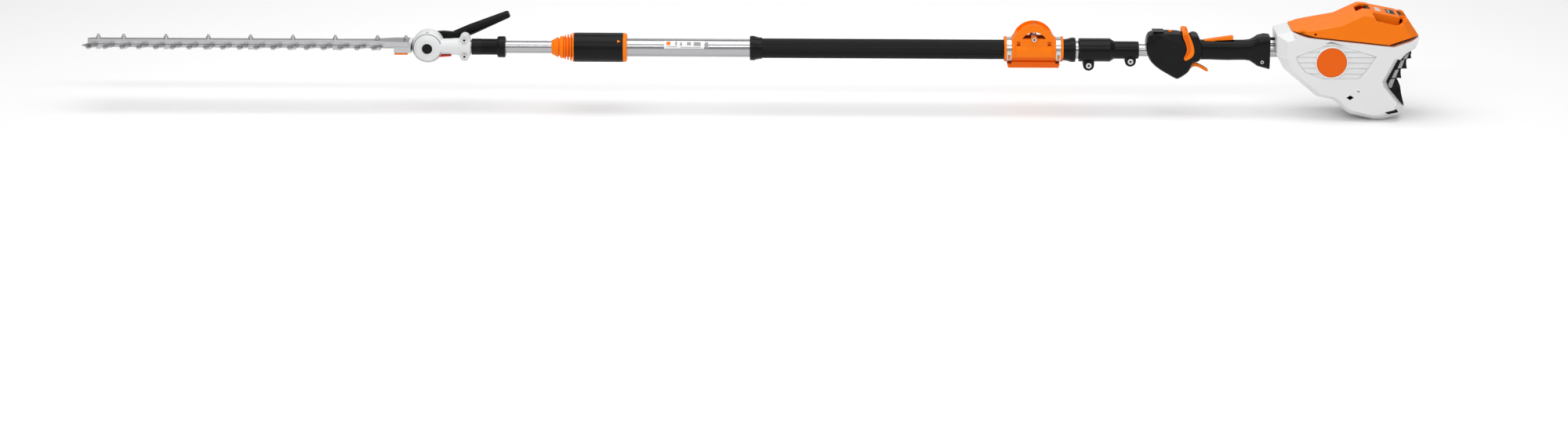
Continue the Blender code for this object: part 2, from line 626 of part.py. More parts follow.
# ---------------------------------------------------------------- reducer between the tubes
REDUCER_SCREWS = ((698.5, -29.5), (784.0, -20.5))


def build_reducer():
    sleeve = turned("reducer_sleeve", reducer_profile(), "black_plastic")
    for x, z in REDUCER_SCREWS:
        ear = rod("ear", -13.0, 13.0, 11.4, axis="Y", centre=(x, 0, z), segments=24)
        wall = block("wall", (x - 11.4, -13.0, z), (x + 11.4, 13.0, z + 13.0))
        join(ear, wall)
        bore_r = OUTER_R if x < 740 else TUBE_R
        cut(ear, rod("bore", 600.0, 900.0, bore_r + GAP))
        join(sleeve, ear)
        cut(sleeve, block("slit", (x - 14.0, -1.0, z - 14.0), (x + 14.0, 1.0, z + 14.0)))
        cut(sleeve, rod("hole", -40.0, 40.0, 2.9, axis="Y", centre=(x, 0, z), segments=16))
    return sleeve


def reducer_profile():
    inner = OUTER_R + GAP
    return [
        (678.0, inner), (678.0, 23.4), (679.5, 24.0), (742.0, 24.0), (751.0, 18.1), (799.0, 18.1), (801.0, 17.0),
        (801.0, TUBE_R + GAP), (716.0, TUBE_R + GAP), (716.0, inner),
    ]


def build_reducer_screw(name, x, z):
    screw = rod(name, -12.8, 12.8, 2.5, "steel", axis="Y", centre=(x, 0, z), segments=16)
    join(screw, rod("head", -17.5, -13.3, 5.8, axis="Y", centre=(x, 0, z), segments=20))
    join(screw, rod("washer", -13.5, -12.5, 2.6, axis="Y", centre=(x, 0, z), segments=16))
    return cut(screw, rod("socket", -18.5, -15.0, 2.6, axis="Y", centre=(x, 0, z), segments=6))


# ---------------------------------------------------------------- control handle
CONTROL_HALF = 24.0
CONTROL_OUTLINE = [
    (815.0, 2.0), (815.5, 28.0), (825.5, 40.0), (884.0, 40.0), (893.0, 33.0), (902.0, 24.0), (907.0, 36.5),
    (921.0, 36.5), (927.0, 24.0), (931.0, 0.0), (927.0, -19.0), (913.0, -22.0), (909.0, -33.0), (903.0, -44.0),
    (884.0, -57.0), (877.0, -57.0), (827.0, -27.0),
]
HANDLE_SECTIONS = (        # x, top z, bottom z, half width
    (920.0, 23.0, -18.0, 17.5), (952.0, 22.0, -18.5, 17.0), (985.0, 22.5, -19.5, 16.5), (1015.0, 22.5, -18.5, 17.0),
    (1031.0, 23.5, -20.0, 18.5), (1043.0, 31.0, -31.0, 23.0), (1058.0, 34.5, -33.0, 25.0), (1069.0, 33.0, -36.0, 25.0),
)
TRIGGER_PIVOT = (893.0, 0.0, -35.0)
LOCKOUT_PIVOT = (931.0, 0.0, 20.5)


def scaled_outline(outline, centre, share):
    return [(centre[0] + (x - centre[0]) * share, centre[1] + (z - centre[1]) * share) for x, z in outline]


def tapered_body(name, outline, side, face, centre, share, finish=None):
    """An outline at full size between Y = -side and side that shrinks towards centre at Y = -face and face."""
    small = scaled_outline(outline, centre, share)
    rings = [[(x, y, z) for x, z in ring]
             for y, ring in ((-face, small), (-side, outline), (side, outline), (face, small))]
    return make_object(name, loft_mesh(rings), finish)


def octagon_ring(x, top, bottom, half, corner=0.45):
    middle, tall = (top + bottom) / 2, (top - bottom) / 2
    inner = 1 - corner
    unit = [(1, inner), (inner, 1), (-inner, 1), (-1, inner), (-1, -inner), (-inner, -1), (inner, -1), (1, -inner)]
    return [(x, half * u, middle + tall * v) for u, v in unit]


def control_solid(name, shrink=0.0):
    """The whole control housing and handle as one solid, made smaller all round by shrink."""
    centre = (865.0, -5.0)
    body = tapered_body(name, inset_outline(CONTROL_OUTLINE, shrink) if shrink else CONTROL_OUTLINE,
                        CONTROL_HALF - 7.0 - shrink * 0.6, CONTROL_HALF - shrink, centre, 0.9)
    rings = [octagon_ring(x, top - shrink, bottom + shrink, half - shrink) for x, top, bottom, half in HANDLE_SECTIONS]
    if shrink:
        rings = rings[:-1] + [octagon_ring(1069.0 - shrink, 33.0 - shrink, -36.0 + shrink, 25.0 - shrink)]
    return join(body, make_object("handle", loft_mesh(rings)))


def build_control():
    whole = control_solid("control_shell_near")
    whole.data.materials.append(material("black_plastic"))
    hollow = control_solid("hollow", 2.6)
    for start in (806.0, 1050.0):
        cut(hollow, tube("seat", start, start + 24.0, 19.0 if start < 900 else 17.5, 2.0))
    cut(whole, hollow)
    cut(whole, rod("tube_way", 800.0, 1100.0, TUBE_R + GAP))
    cut(whole, block("trigger_way", (896.0, -6.3, -46.0), (922.0, 6.3, -16.0)))
    cut(whole, block("lever_way", (933.0, -6.8, 14.0), (997.0, 6.8, 40.0)))
    cut(whole, rod("button_way", 34.0, 45.0, 4.8, axis="Z", centre=(865.0, 0, 0), segments=16))
    cut(whole, rod("cable_way", 1055.0, 1090.0, 3.9, centre=(0, 0, 25.5), segments=12))
    cut(whole, block("screw_way", (1048.0, -40.0, -22.0), (1058.0, -20.0, -14.0)))
    far = copy_of(whole, "control_shell_far")
    keep(whole, block("near_half", (800.0, -60.0, -80.0), (1100.0, -GAP / 2, 60.0)))
    keep(far, block("far_half", (800.0, GAP / 2 + 0.05, -81.0), (1100.0, 61.0, 61.0)))
    return whole, far


def build_handle_screw():
    screw = rod("handle_screw", -26.0, -21.5, 3.6, "steel", axis="Y", centre=(1053.0, 0, -18.0), segments=16)
    return cut(screw, rod("socket", -27.0, -24.0, 1.8, axis="Y", centre=(1053.0, 0, -18.0), segments=6))


def build_ring_slide():
    """Slider that straddles the rear of the control housing: two cheeks joined by a thumb bridge on top."""
    cheek = [(888.0, 33.0), (889.0, 45.0), (899.0, 45.0), (903.0, 36.0), (914.5, 0.0), (912.0, -10.0), (904.0, -16.0),
             (897.0, -16.0), (905.0, -4.0), (905.0, 2.0), (893.0, 33.0)]
    ring = prism("ring_slide", cheek, -26.6, 26.6, "orange_plastic")
    cut(ring, block("core", (870.0, -24.3, -40.0), (930.0, 24.3, 40.4)))
    thumb = prism("thumb", [(896.0, 43.0), (896.0, 48.5), (899.0, 48.5), (900.5, 43.0)], -9.0, 9.0)
    return join(ring, thumb)


def build_control_pieces():
    panel = block("display_panel", (828.0, -13.0, 40.0 + GAP), (852.0, 13.0, 43.0), "black_plastic")
    button = rod("mode_button", 35.0, 42.5, 4.4, "orange_plastic", axis="Z", centre=(865.0, 0, 0), segments=16)
    blade = [(889.0, -30.0), (897.0, -26.0), (905.0, -24.5), (915.0, -25.0), (926.0, -28.0), (944.0, -38.0),
             (945.5, -42.0), (941.0, -43.5), (926.0, -34.0), (915.0, -31.5), (908.0, -38.0), (897.0, -40.0),
             (889.0, -39.0)]
    trigger = prism("trigger", blade, -6.0, 6.0, "orange_plastic")
    wedge = [(935.0, 17.5), (935.0, 23.0), (960.0, 27.0), (994.5, 32.0), (994.5, 24.0), (960.0, 22.0), (945.0, 17.5)]
    lever = prism("lockout_lever", wedge, -6.5, 6.5, "orange_plastic")
    switch = block("trigger_switch", (868.0, -6.0, -36.0), (884.0, 6.0, -22.0), "black_plastic")
    return panel, button, trigger, lever, switch


def build_cable():
    """Corrugated cable from the handle to the motor housing, held at both ends."""
    cable = rod("control_cable", 1061.0, 1092.0, 3.2, "black_rubber", centre=(0, 0, 25.5), segments=12)
    for x in range(1073, 1081, 3):
        join(cable, rod("rib", x - 0.7, x + 0.7, 3.6, centre=(0, 0, 25.5), segments=12))
    return cable


# ---------------------------------------------------------------- motor housing and battery
HOUSING_CENTRE = (1215.0, -18.0)
HOUSING_SIDE, HOUSING_FACE = 40.0, 65.0
HOUSING_OUTLINE = [
    (1081.0, 0.0), (1080.0, 43.0), (1108.0, 51.0), (1142.0, 42.0), (1316.0, 23.5), (1368.5, 41.5), (1370.0, 36.0),
    (1361.0, 21.0), (1341.0, 9.0), (1333.0, 0.0), (1307.0, -53.0), (1313.0, -67.0), (1345.0, -105.0), (1343.0, -111.0),
    (1336.0, -122.0), (1302.0, -134.0), (1284.0, -134.0), (1235.0, -122.0), (1220.0, -112.0), (1207.0, -98.0),
    (1196.0, -91.0), (1166.0, -85.0), (1160.0, -81.0), (1095.0, -27.0),
]
COVER_OUTLINE = [
    (1110.0, 52.0), (1134.0, 57.5), (1201.0, 70.0), (1254.0, 95.5), (1264.0, 95.0), (1340.0, 80.0), (1346.0, 77.5),
    (1369.0, 43.5), (1316.0, 25.2), (1142.0, 43.7),
]
LOUVRE_FIELD = [
    (1118.0, 4.0), (1187.0, 32.5), (1281.0, 5.0), (1262.0, -25.0), (1247.0, -42.0), (1172.0, -42.0),
    (1136.0, -29.0), (1118.0, -4.0),
]
VENT_SLOTS = (             # from X, to X and bottom Z of each slot in the louvre field
    (1128.0, 1150.0, 2.4), (1136.0, 1150.0, -9.1), (1140.0, 1150.0, -20.6), (1230.0, 1268.0, 2.4),
    (1230.0, 1264.0, -9.1), (1230.0, 1256.0, -20.6),
)
BATTERY_LEAN = 11.0       # degrees the battery slot leans back
BATTERY_TOP = (1301.5, 87.0)
BATTERY_HALF = (29.5, 38.0)
BATTERY_DEPTH = 92.0
MOTOR_X = (1172.0, 1214.0)


def battery_frame(low, high, name, finish=None):
    """A box measured in the leaning battery frame: its origin is the middle of the battery's top face."""
    made = block(name, low, high, finish)
    shift = Matrix.Translation((0, 0, -AXIS_Z * MM))
    lean = Matrix.Rotation(radians(BATTERY_LEAN), 4, "Y")
    place = Matrix.Translation((BATTERY_TOP[0] * MM, 0, (BATTERY_TOP[1] + AXIS_Z) * MM))
    made.data.transform(place @ lean @ shift)
    return made


def battery_pocket():
    x, y = BATTERY_HALF
    return battery_frame((-x - GAP * 2, -y - GAP * 2, -BATTERY_DEPTH - 1.0), (x + GAP * 2, y + GAP * 2, 60.0), "pocket")


def housing_solid(name, outline):
    return tapered_body(name, outline, HOUSING_SIDE, HOUSING_FACE, HOUSING_CENTRE, 0.86)


def build_housing():
    whole = housing_solid("housing_near", HOUSING_OUTLINE)
    whole.data.materials.append(material("white_plastic"))
    inner = scaled_outline(HOUSING_OUTLINE, HOUSING_CENTRE, 0.93)
    hollow = tapered_body("hollow", inner, HOUSING_SIDE - 2.0, HOUSING_FACE - 3.0, HOUSING_CENTRE, 0.86)
    cut(hollow, tube("tube_seat", 1080.0, 1113.0, 22.0, 2.0))
    cut(hollow, tube("motor_seat", MOTOR_X[0] + 5.0, MOTOR_X[0] + 12.0, 90.0, 27.6))
    cut(hollow, block("foot_solid", (1200.0, -70.0, -140.0), (1360.0, 70.0, -112.0)))
    cut(whole, hollow)
    cut(whole, battery_pocket())
    cut(whole, rod("tube_way", 1060.0, 1116.0, TUBE_R + GAP))
    cut(whole, rod("cable_way", 1060.0, 1096.0, 3.6, centre=(0, 0, 25.5), segments=12))
    cut(whole, tilted_block("filter_way", (-10.0, -36.0, -26.0), (10.0, 36.0, 20.0)))
    far = copy_of(whole, "housing_far")
    keep(whole, block("near_half", (1000.0, -90.0, -200.0), (1500.0, -GAP / 2, 200.0)))
    cut(whole, prism("louvre_field", LOUVRE_FIELD, -HOUSING_FACE - 10.0, -HOUSING_FACE + 2.2))
    for x_low, x_high, z in VENT_SLOTS:
        cut(whole, block("vent", (x_low, -80.0, z), (x_high, -55.0, z + 1.5)))
    keep(far, block("far_half", (1000.0, GAP / 2 + 0.05, -201.0), (1501.0, 91.0, 201.0)))
    return whole, far


def tilted_block(name, low, high, finish=None):
    """A box measured in the frame of the sloping air intake: local X is out through the intake."""
    made = block(name, low, high, finish)
    shift = Matrix.Translation((0, 0, -AXIS_Z * MM))
    lean = Matrix.Rotation(atan2(26.0, 53.0), 4, "Y")
    place = Matrix.Translation((1320.0 * MM, 0, (-24.0 + AXIS_Z) * MM))
    made.data.transform(place @ lean @ shift)
    return made


def build_intake():
    outline = [(1334.0, 0.0), (1341.0, 8.2), (1354.0, -6.0), (1338.0, -70.0), (1344.0, -103.0), (1314.0, -67.5),
               (1308.0, -52.5)]
    middle = (1329.0, -40.0)
    grille = prism("intake_grille", scaled_outline(outline, middle, 0.985), -48.0, 48.0, "black_plastic")
    for z in (-2.0, -24.0, -46.0):
        cut(grille, block("louvre", (1290.0, -42.0, z - 14.0), (1400.0, 42.0, z - 2.0)))
    felt = tilted_block("air_filter", (-9.0, -35.5, -25.5), (-1.5, 35.5, 19.5), "filter_felt")
    return grille, felt


def build_cover():
    cover = tapered_body("top_cover", COVER_OUTLINE, 38.0, 63.0, (1240.0, 50.0), 0.86, "orange_plastic")
    hollow = tapered_body("hollow", scaled_outline(COVER_OUTLINE, (1240.0, 50.0), 0.9), 36.0, 59.0, (1240.0, 50.0), 0.86)
    cut(hollow, block("floor", (1000.0, -80.0, 0.0), (1400.0, 80.0, 30.0)))
    cut(cover, hollow, battery_pocket())
    window = [(1270.0, 110.0), (1272.0, 90.0), (1279.0, 78.0), (1319.0, 69.0), (1333.0, 71.0), (1344.0, 84.0),
              (1346.0, 110.0)]
    for y_low, y_high in ((-80.0, -30.0), (30.0, 80.0)):
        cut(cover, prism("window", window, y_low, y_high))
    x = BATTERY_HALF[0]
    cut(cover, battery_frame((-x - 30.0, -20.6, -17.8), (-x + 3.0, 20.6, 30.0), "front_notch"))
    cut(cover, battery_frame((x - 3.0, -20.6, -17.8), (x + 30.0, 20.6, 30.0), "rear_notch"))
    return cover


def build_battery():
    x, y = BATTERY_HALF
    pack = battery_frame((-x, -y, -BATTERY_DEPTH), (x, y, 0.0), "battery", "orange_plastic")
    cut(pack, battery_frame((-x + 6.0, -4.0, -BATTERY_DEPTH - 5), (x - 6.0, 4.0, -BATTERY_DEPTH + 8.0), "slot"))
    latches = []
    for name, side in (("battery_latch_front", -1), ("battery_latch_rear", 1)):
        near, far = x + 0.9, x + 8.2
        low, high = ((-far, -20.0, -16.4), (-near, 20.0, -1.0)) if side < 0 else ((near, -20.0, -16.4), (far, 20.0, -1.0))
        latches.append(battery_frame(low, high, name, "black_plastic"))
    return pack, latches


def build_motor():
    start, end = MOTOR_X
    tube("motor_stator", start, end, 27.0, 20.5, "steel", segments=24)
    wheel = [(start + 2.0, 8.5), (start + 2.0, 19.8), (end - 2.0, 19.8), (end - 2.0, 12.0), (end + 3.0, 12.0)]
    wheel += [(end + 3.0, 26.0), (end + 4.5, 26.0), (end + 5.0, 12.0), (end + 9.0, 12.0), (end + 9.0, 8.5)]
    block("controller_board", (1126.0, -30.0, -37.0), (1175.0, 30.0, -34.5), "board_green")
    return turned("motor_rotor", wheel, "copper", segments=24)


def build_badge():
    centre = (1190.0, 0, -8.0)
    badge = rod("badge", -HOUSING_FACE - 2.4, -HOUSING_FACE - GAP, 31.0, "orange_plastic", axis="Y", centre=centre)
    ring = tube("ring", -HOUSING_FACE - 2.9, -HOUSING_FACE - 0.9, 33.4, 30.0, axis="Y", centre=centre)
    return join(badge, ring)


# ---------------------------------------------------------------- assembly
def assemble():
    guide_bar, upper, lower = build_cutter()
    head_case, lever = build_head_case(), build_swivel_lever()
    guard, guard_screw = build_base_guard()
    housing, clamp_cap, pivot_cap = build_joint_housing(), build_clamp_cap(), build_pivot_cap()
    joint_screws = [build_joint_screw(f"joint_screw_{n}", z) for n, z in ((1, JOINT_SCREW_Z), (2, -JOINT_SCREW_Z))]
    front_shaft, crank = build_pinion_shaft(), build_crank_gear()
    rear_shaft, front_bush = build_shafts()
    lock_sleeve, lock_pin = build_lock()
    inner, outer, rear_tube, guide_bush = build_tubes()
    build_hose()
    build_collar("front_collar", 3.0, 1)
    build_collar("rear_collar", 671.0, -1)
    collet, grip, end_ring = build_twist_clamp()
    build_harness()
    build_reducer()
    for n, (x, z) in enumerate(REDUCER_SCREWS, 1):
        build_reducer_screw(f"reducer_screw_{n}", x, z)
    build_control()
    build_handle_screw()
    ring_slide = build_ring_slide()
    panel, button, trigger, lockout, switch = build_control_pieces()
    build_cable()
    build_housing()
    build_intake()
    build_cover()
    pack, latches = build_battery()
    rotor = build_motor()
    build_badge()

    hang_on(joint_origin("telescope_body", (CLAMP_X, 0, 0)), inner, housing, clamp_cap, pivot_cap, guide_bush,
            front_bush, *joint_screws)
    hang_on(joint_origin("head_body", (TILT_X, 0, 0)), guide_bar, head_case, lever, guard, guard_screw)
    hang_on(joint_origin("upper_blade_body", (TILT_X, 0, 0)), upper)
    hang_on(joint_origin("lower_blade_body", (TILT_X, 0, 0)), lower)
    hang_on(joint_origin("crank_body", (TILT_X, 0, 0)), crank)
    hang_on(joint_origin("front_shaft_body", (TILT_X, 0, 0)), front_shaft)
    hang_on(joint_origin("rear_shaft_body", (MOTOR_X[0], 0, 0)), rear_shaft, rotor)
    hang_on(joint_origin("lock_body", (-568.5, 0, 0)), lock_sleeve, lock_pin)
    hang_on(joint_origin("clamp_body", (CLAMP_X, 0, 0)), collet, grip, end_ring)
    hang_on(joint_origin("ring_body", (900.0, 0, 0)), ring_slide)
    hang_on(joint_origin("button_body", (865.0, 0, 40.0)), button)
    hang_on(joint_origin("trigger_body", TRIGGER_PIVOT), trigger)
    hang_on(joint_origin("lockout_body", LOCKOUT_PIVOT), lockout)
    hang_on(joint_origin("battery_body", (BATTERY_TOP[0], 0, BATTERY_TOP[1])), pack)
    for latch in latches:
        hang_on(joint_origin(latch.name + "_body", latch_pivot(latch.name)), latch)


def latch_pivot(name):
    side = -1 if name.endswith("front") else 1
    lean = radians(BATTERY_LEAN)
    u, w = side * (BATTERY_HALF[0] + 4.5), -14.0
    return BATTERY_TOP[0] + u * cos(lean) + w * sin(lean), 0, BATTERY_TOP[1] - u * sin(lean) + w * cos(lean)


clear_scene()
assemble()
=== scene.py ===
import bmesh
import bpy
import json
from math import cos, pi, radians, sin
from mathutils import Matrix, Vector


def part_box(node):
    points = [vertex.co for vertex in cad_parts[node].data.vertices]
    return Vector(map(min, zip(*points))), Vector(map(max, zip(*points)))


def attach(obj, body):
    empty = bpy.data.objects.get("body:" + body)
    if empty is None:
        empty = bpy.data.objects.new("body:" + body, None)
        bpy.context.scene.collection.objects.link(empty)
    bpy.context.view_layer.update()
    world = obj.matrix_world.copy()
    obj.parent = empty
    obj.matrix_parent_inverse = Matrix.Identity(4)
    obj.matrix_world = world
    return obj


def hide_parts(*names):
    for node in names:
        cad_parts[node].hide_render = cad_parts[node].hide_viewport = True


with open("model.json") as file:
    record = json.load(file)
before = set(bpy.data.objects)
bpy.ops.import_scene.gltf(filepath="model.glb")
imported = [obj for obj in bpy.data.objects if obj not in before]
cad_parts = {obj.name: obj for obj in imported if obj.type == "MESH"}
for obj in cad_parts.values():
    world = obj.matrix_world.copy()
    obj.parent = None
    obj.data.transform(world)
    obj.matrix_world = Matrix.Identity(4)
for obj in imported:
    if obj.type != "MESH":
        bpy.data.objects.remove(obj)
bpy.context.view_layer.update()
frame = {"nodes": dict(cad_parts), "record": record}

nodes = frame["nodes"]
lowTube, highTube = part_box("outer_tube")
axisHeight = (lowTube[2] + highTube[2]) / 2  # the pole's centre line above the foot
mm = 0.001
bodyOf = {}
for bodyName, members in frame["record"]["behaviour"]["bodies"].items():
    for member in members:
        bodyOf[member] = bodyName


def place(x, y, z):
    return Vector((x * mm, y * mm, z * mm + axisHeight))


# effects shared by every finish
def groupSockets(tree, inputs, outputs):
    for name, kind, value in inputs:
        made = tree.interface.new_socket(name, in_out="INPUT", socket_type=kind)
        if value is not None:
            made.default_value = value
    for name, kind in outputs:
        tree.interface.new_socket(name, in_out="OUTPUT", socket_type=kind)


def noiseNode(tree, vector, scale, detail=3.0, roughness=0.5):
    made = tree.nodes.new("ShaderNodeTexNoise")
    made.inputs["Detail"].default_value = detail
    made.inputs["Roughness"].default_value = roughness
    tree.links.new(vector, made.inputs["Vector"])
    if isinstance(scale, (int, float)):
        made.inputs["Scale"].default_value = scale
    else:
        tree.links.new(scale, made.inputs["Scale"])
    return made.outputs["Fac"]


def mathNode(tree, operation, a, b=None, clamp=False):
    made = tree.nodes.new("ShaderNodeMath")
    made.operation = operation
    made.use_clamp = clamp
    for socket, value in zip(made.inputs, (a, b)):
        if value is None:
            continue
        if isinstance(value, (int, float)):
            socket.default_value = value
        else:
            tree.links.new(value, socket)
    return made.outputs[0]


def rangeNode(tree, value, fromLow, fromHigh, toLow, toHigh):
    made = tree.nodes.new("ShaderNodeMapRange")
    tree.links.new(value, made.inputs["Value"])
    for name, number in (("From Min", fromLow), ("From Max", fromHigh), ("To Min", toLow), ("To Max", toHigh)):
        made.inputs[name].default_value = number
    return made.outputs["Result"]


def mixNode(tree, factor, a, b):
    made = tree.nodes.new("ShaderNodeMix")
    made.data_type = "RGBA"
    tree.links.new(factor, made.inputs["Factor"])
    colourInputs = [s for s in made.inputs if s.type == "RGBA"]
    for socket, value in zip(colourInputs, (a, b)):
        tree.links.new(value, socket)
    return [s for s in made.outputs if s.type == "RGBA"][0]


def makeMouldedGroup():
    # moulded plastic, rubber and powder coat: fine spark-eroded grain, faint cloudiness and handling marks
    tree = bpy.data.node_groups.new("mouldedSkin", "ShaderNodeTree")
    groupSockets(
        tree,
        [("Vector", "NodeSocketVector", None), ("Colour", "NodeSocketColor", (0.8, 0.8, 0.8, 1)),
         ("Worn Colour", "NodeSocketColor", (0.6, 0.6, 0.6, 1)), ("Grain Scale", "NodeSocketFloat", 900.0),
         ("Roughness", "NodeSocketFloat", 0.45), ("Wear", "NodeSocketFloat", 0.15)],
        [("Colour", "NodeSocketColor"), ("Roughness", "NodeSocketFloat"), ("Height", "NodeSocketFloat")],
    )
    start = tree.nodes.new("NodeGroupInput")
    end = tree.nodes.new("NodeGroupOutput")
    vector = start.outputs["Vector"]
    grain = noiseNode(tree, vector, start.outputs["Grain Scale"], 2.0)
    cloud = noiseNode(tree, vector, 14.0, 4.0)
    marks = noiseNode(tree, vector, 55.0, 6.0, 0.65)
    dust = rangeNode(tree, marks, 0.56, 0.75, 0.0, 1.0)
    soft = rangeNode(tree, cloud, 0.3, 0.7, 0.0, 0.5)
    amount = mathNode(tree, "MULTIPLY", mathNode(tree, "ADD", dust, soft), start.outputs["Wear"], clamp=True)
    colour = mixNode(tree, amount, start.outputs["Colour"], start.outputs["Worn Colour"])
    tree.links.new(colour, end.inputs["Colour"])
    change = rangeNode(tree, marks, 0.3, 0.7, -0.06, 0.08)
    tree.links.new(mathNode(tree, "ADD", start.outputs["Roughness"], change, clamp=True), end.inputs["Roughness"])
    tree.links.new(mathNode(tree, "ADD", grain, mathNode(tree, "MULTIPLY", cloud, 0.4)), end.inputs["Height"])
    return tree


def makeBrushedGroup():
    # drawn and ground metal: long streaks along one direction over a faint mottling
    tree = bpy.data.node_groups.new("brushedMetal", "ShaderNodeTree")
    groupSockets(
        tree,
        [("Vector", "NodeSocketVector", None), ("Colour", "NodeSocketColor", (0.8, 0.8, 0.8, 1)),
         ("Dark Colour", "NodeSocketColor", (0.5, 0.5, 0.5, 1)), ("Roughness", "NodeSocketFloat", 0.25),
         ("Streaks", "NodeSocketFloat", 0.4)],
        [("Colour", "NodeSocketColor"), ("Roughness", "NodeSocketFloat"), ("Height", "NodeSocketFloat")],
    )
    start = tree.nodes.new("NodeGroupInput")
    end = tree.nodes.new("NodeGroupOutput")
    streak = noiseNode(tree, start.outputs["Vector"], 1.0, 3.0, 0.6)
    fine = noiseNode(tree, start.outputs["Vector"], 4.0, 2.0, 0.6)
    both = mathNode(tree, "ADD", mathNode(tree, "MULTIPLY", streak, 0.6), mathNode(tree, "MULTIPLY", fine, 0.4))
    depth = rangeNode(tree, both, 0.35, 0.7, 0.0, 1.0)
    amount = mathNode(tree, "MULTIPLY", depth, start.outputs["Streaks"], clamp=True)
    tree.links.new(mixNode(tree, amount, start.outputs["Colour"], start.outputs["Dark Colour"]), end.inputs["Colour"])
    change = rangeNode(tree, both, 0.3, 0.7, -0.07, 0.1)
    tree.links.new(mathNode(tree, "ADD", start.outputs["Roughness"], change, clamp=True), end.inputs["Roughness"])
    tree.links.new(both, end.inputs["Height"])
    return tree


mouldedSkin = makeMouldedGroup()
brushedMetal = makeBrushedGroup()
print("effects ready")

# worn is the second colour and wear its share; grain is the scale of a moulded surface, stretch a metal's streaks
finishes = {
    "whitePlastic": dict(colour=(0.78, 0.785, 0.79), worn=(0.68, 0.68, 0.675), rough=0.42, grain=1400, wear=0.10,
                         bump=0.05, slot="white_plastic"),
    "orangePlastic": dict(colour=(0.95, 0.200, 0.001), worn=(0.80, 0.145, 0.002), rough=0.42, grain=1400, wear=0.14,
                          bump=0.05, specular=0.16, slot="orange_plastic"),
    # a darker copy of the orange: painted shade on the harness keel underneath and on the slide's sunk channel floors;
    # the badge disc takes it too
    "deepOrangeAndShade": dict(colour=(0.84, 0.125, 0.002), worn=(0.62, 0.09, 0.002), rough=0.40, grain=1500, wear=0.12,
                       bump=0.04, specular=0.16, slot="orange_plastic"),
    "blackPlastic": dict(colour=(0.0045, 0.0045, 0.005), worn=(0.014, 0.014, 0.0145), rough=0.30, grain=1500, wear=0.25,
                         bump=0.08, specular=0.16, slot="black_plastic"),
    "glossBlack": dict(colour=(0.004, 0.004, 0.0045), worn=(0.014, 0.014, 0.015), rough=0.14, grain=900, wear=0.2,
                       bump=0.01, specular=0.5, slot="black_plastic"),
    "blackRubber": dict(colour=(0.004, 0.0043, 0.0043), worn=(0.012, 0.0125, 0.0125), rough=0.34, grain=2200, wear=0.3,
                        bump=0.16, specular=0.16, slot="black_rubber"),
    "castWhite": dict(colour=(0.74, 0.745, 0.75), worn=(0.60, 0.605, 0.61), rough=0.40, grain=700, wear=0.22,
                      bump=0.10, slot="cast_white"),
    "labelWhite": dict(colour=(0.82, 0.82, 0.82), worn=(0.70, 0.70, 0.70), rough=0.30, grain=900, wear=0.1,
                       bump=0.01, slot="white_plastic"),
    "labelGrey": dict(colour=(0.30, 0.30, 0.31), worn=(0.22, 0.22, 0.22), rough=0.35, grain=900, wear=0.1,
                      bump=0.01, slot="black_plastic"),
    # orange darkened to red-brown: painted shade on the strip under the neck
    "shadedOrangeStrip": dict(colour=(0.62, 0.03, 0.004), worn=(0.45, 0.03, 0.004), rough=0.4, grain=1200, wear=0.2,
                     bump=0.04, slot="orange_plastic"),
    "filterFelt": dict(colour=(0.42, 0.43, 0.43), worn=(0.25, 0.25, 0.25), rough=0.9, grain=500, wear=0.7,
                       bump=0.8, slot="filter_felt"),
    "boardGreen": dict(colour=(0.03, 0.16, 0.07), worn=(0.02, 0.10, 0.04), rough=0.45, grain=600, wear=0.4,
                       bump=0.1, slot="board_green"),
    "drawnAluminium": dict(colour=(0.46, 0.46, 0.47), worn=(0.34, 0.34, 0.35), rough=0.22, stretch=(3, 900, 900),
                           wear=0.35, bump=0.03, metallic=1.0, slot="aluminium"),
    "groundSteel": dict(colour=(0.56, 0.56, 0.57), worn=(0.42, 0.42, 0.43), rough=0.30, stretch=(18, 500, 500),
                        wear=0.35, bump=0.015, metallic=1.0, slot="steel"),
    "brightSteel": dict(colour=(0.66, 0.66, 0.66), worn=(0.45, 0.45, 0.46), rough=0.22, stretch=(200, 200, 600),
                        wear=0.4, bump=0.03, metallic=1.0, slot="steel"),
    "copperWinding": dict(colour=(0.62, 0.27, 0.11), worn=(0.30, 0.12, 0.05), rough=0.35, stretch=(60, 900, 900),
                          wear=0.6, bump=0.2, metallic=1.0, slot="copper"),
}
bumpDistance = 0.4 * mm


def makeFinish(name, values):
    made = bpy.data.materials.new(name)
    made.use_nodes = True
    tree = made.node_tree
    shader = tree.nodes["Principled BSDF"]
    coords = tree.nodes.new("ShaderNodeTexCoord").outputs["Object"]
    effect = tree.nodes.new("ShaderNodeGroup")
    if "stretch" in values:
        effect.node_tree = brushedMetal
        mapping = tree.nodes.new("ShaderNodeMapping")
        mapping.inputs["Scale"].default_value = values["stretch"]
        tree.links.new(coords, mapping.inputs["Vector"])
        tree.links.new(mapping.outputs["Vector"], effect.inputs["Vector"])
        effect.inputs["Dark Colour"].default_value = (*values["worn"], 1)
        effect.inputs["Streaks"].default_value = values["wear"]
    else:
        effect.node_tree = mouldedSkin
        tree.links.new(coords, effect.inputs["Vector"])
        effect.inputs["Worn Colour"].default_value = (*values["worn"], 1)
        effect.inputs["Grain Scale"].default_value = values["grain"]
        effect.inputs["Wear"].default_value = values["wear"]
    effect.inputs["Colour"].default_value = (*values["colour"], 1)
    effect.inputs["Roughness"].default_value = values["rough"]
    tree.links.new(effect.outputs["Colour"], shader.inputs["Base Color"])
    tree.links.new(effect.outputs["Roughness"], shader.inputs["Roughness"])
    shader.inputs["Metallic"].default_value = values.get("metallic", 0.0)
    shader.inputs["Specular IOR Level"].default_value = values.get("specular", 0.45)
    bump = tree.nodes.new("ShaderNodeBump")
    bump.inputs["Strength"].default_value = values["bump"]
    bump.inputs["Distance"].default_value = bumpDistance
    tree.links.new(effect.outputs["Height"], bump.inputs["Height"])
    tree.links.new(bump.outputs["Normal"], shader.inputs["Normal"])
    return made


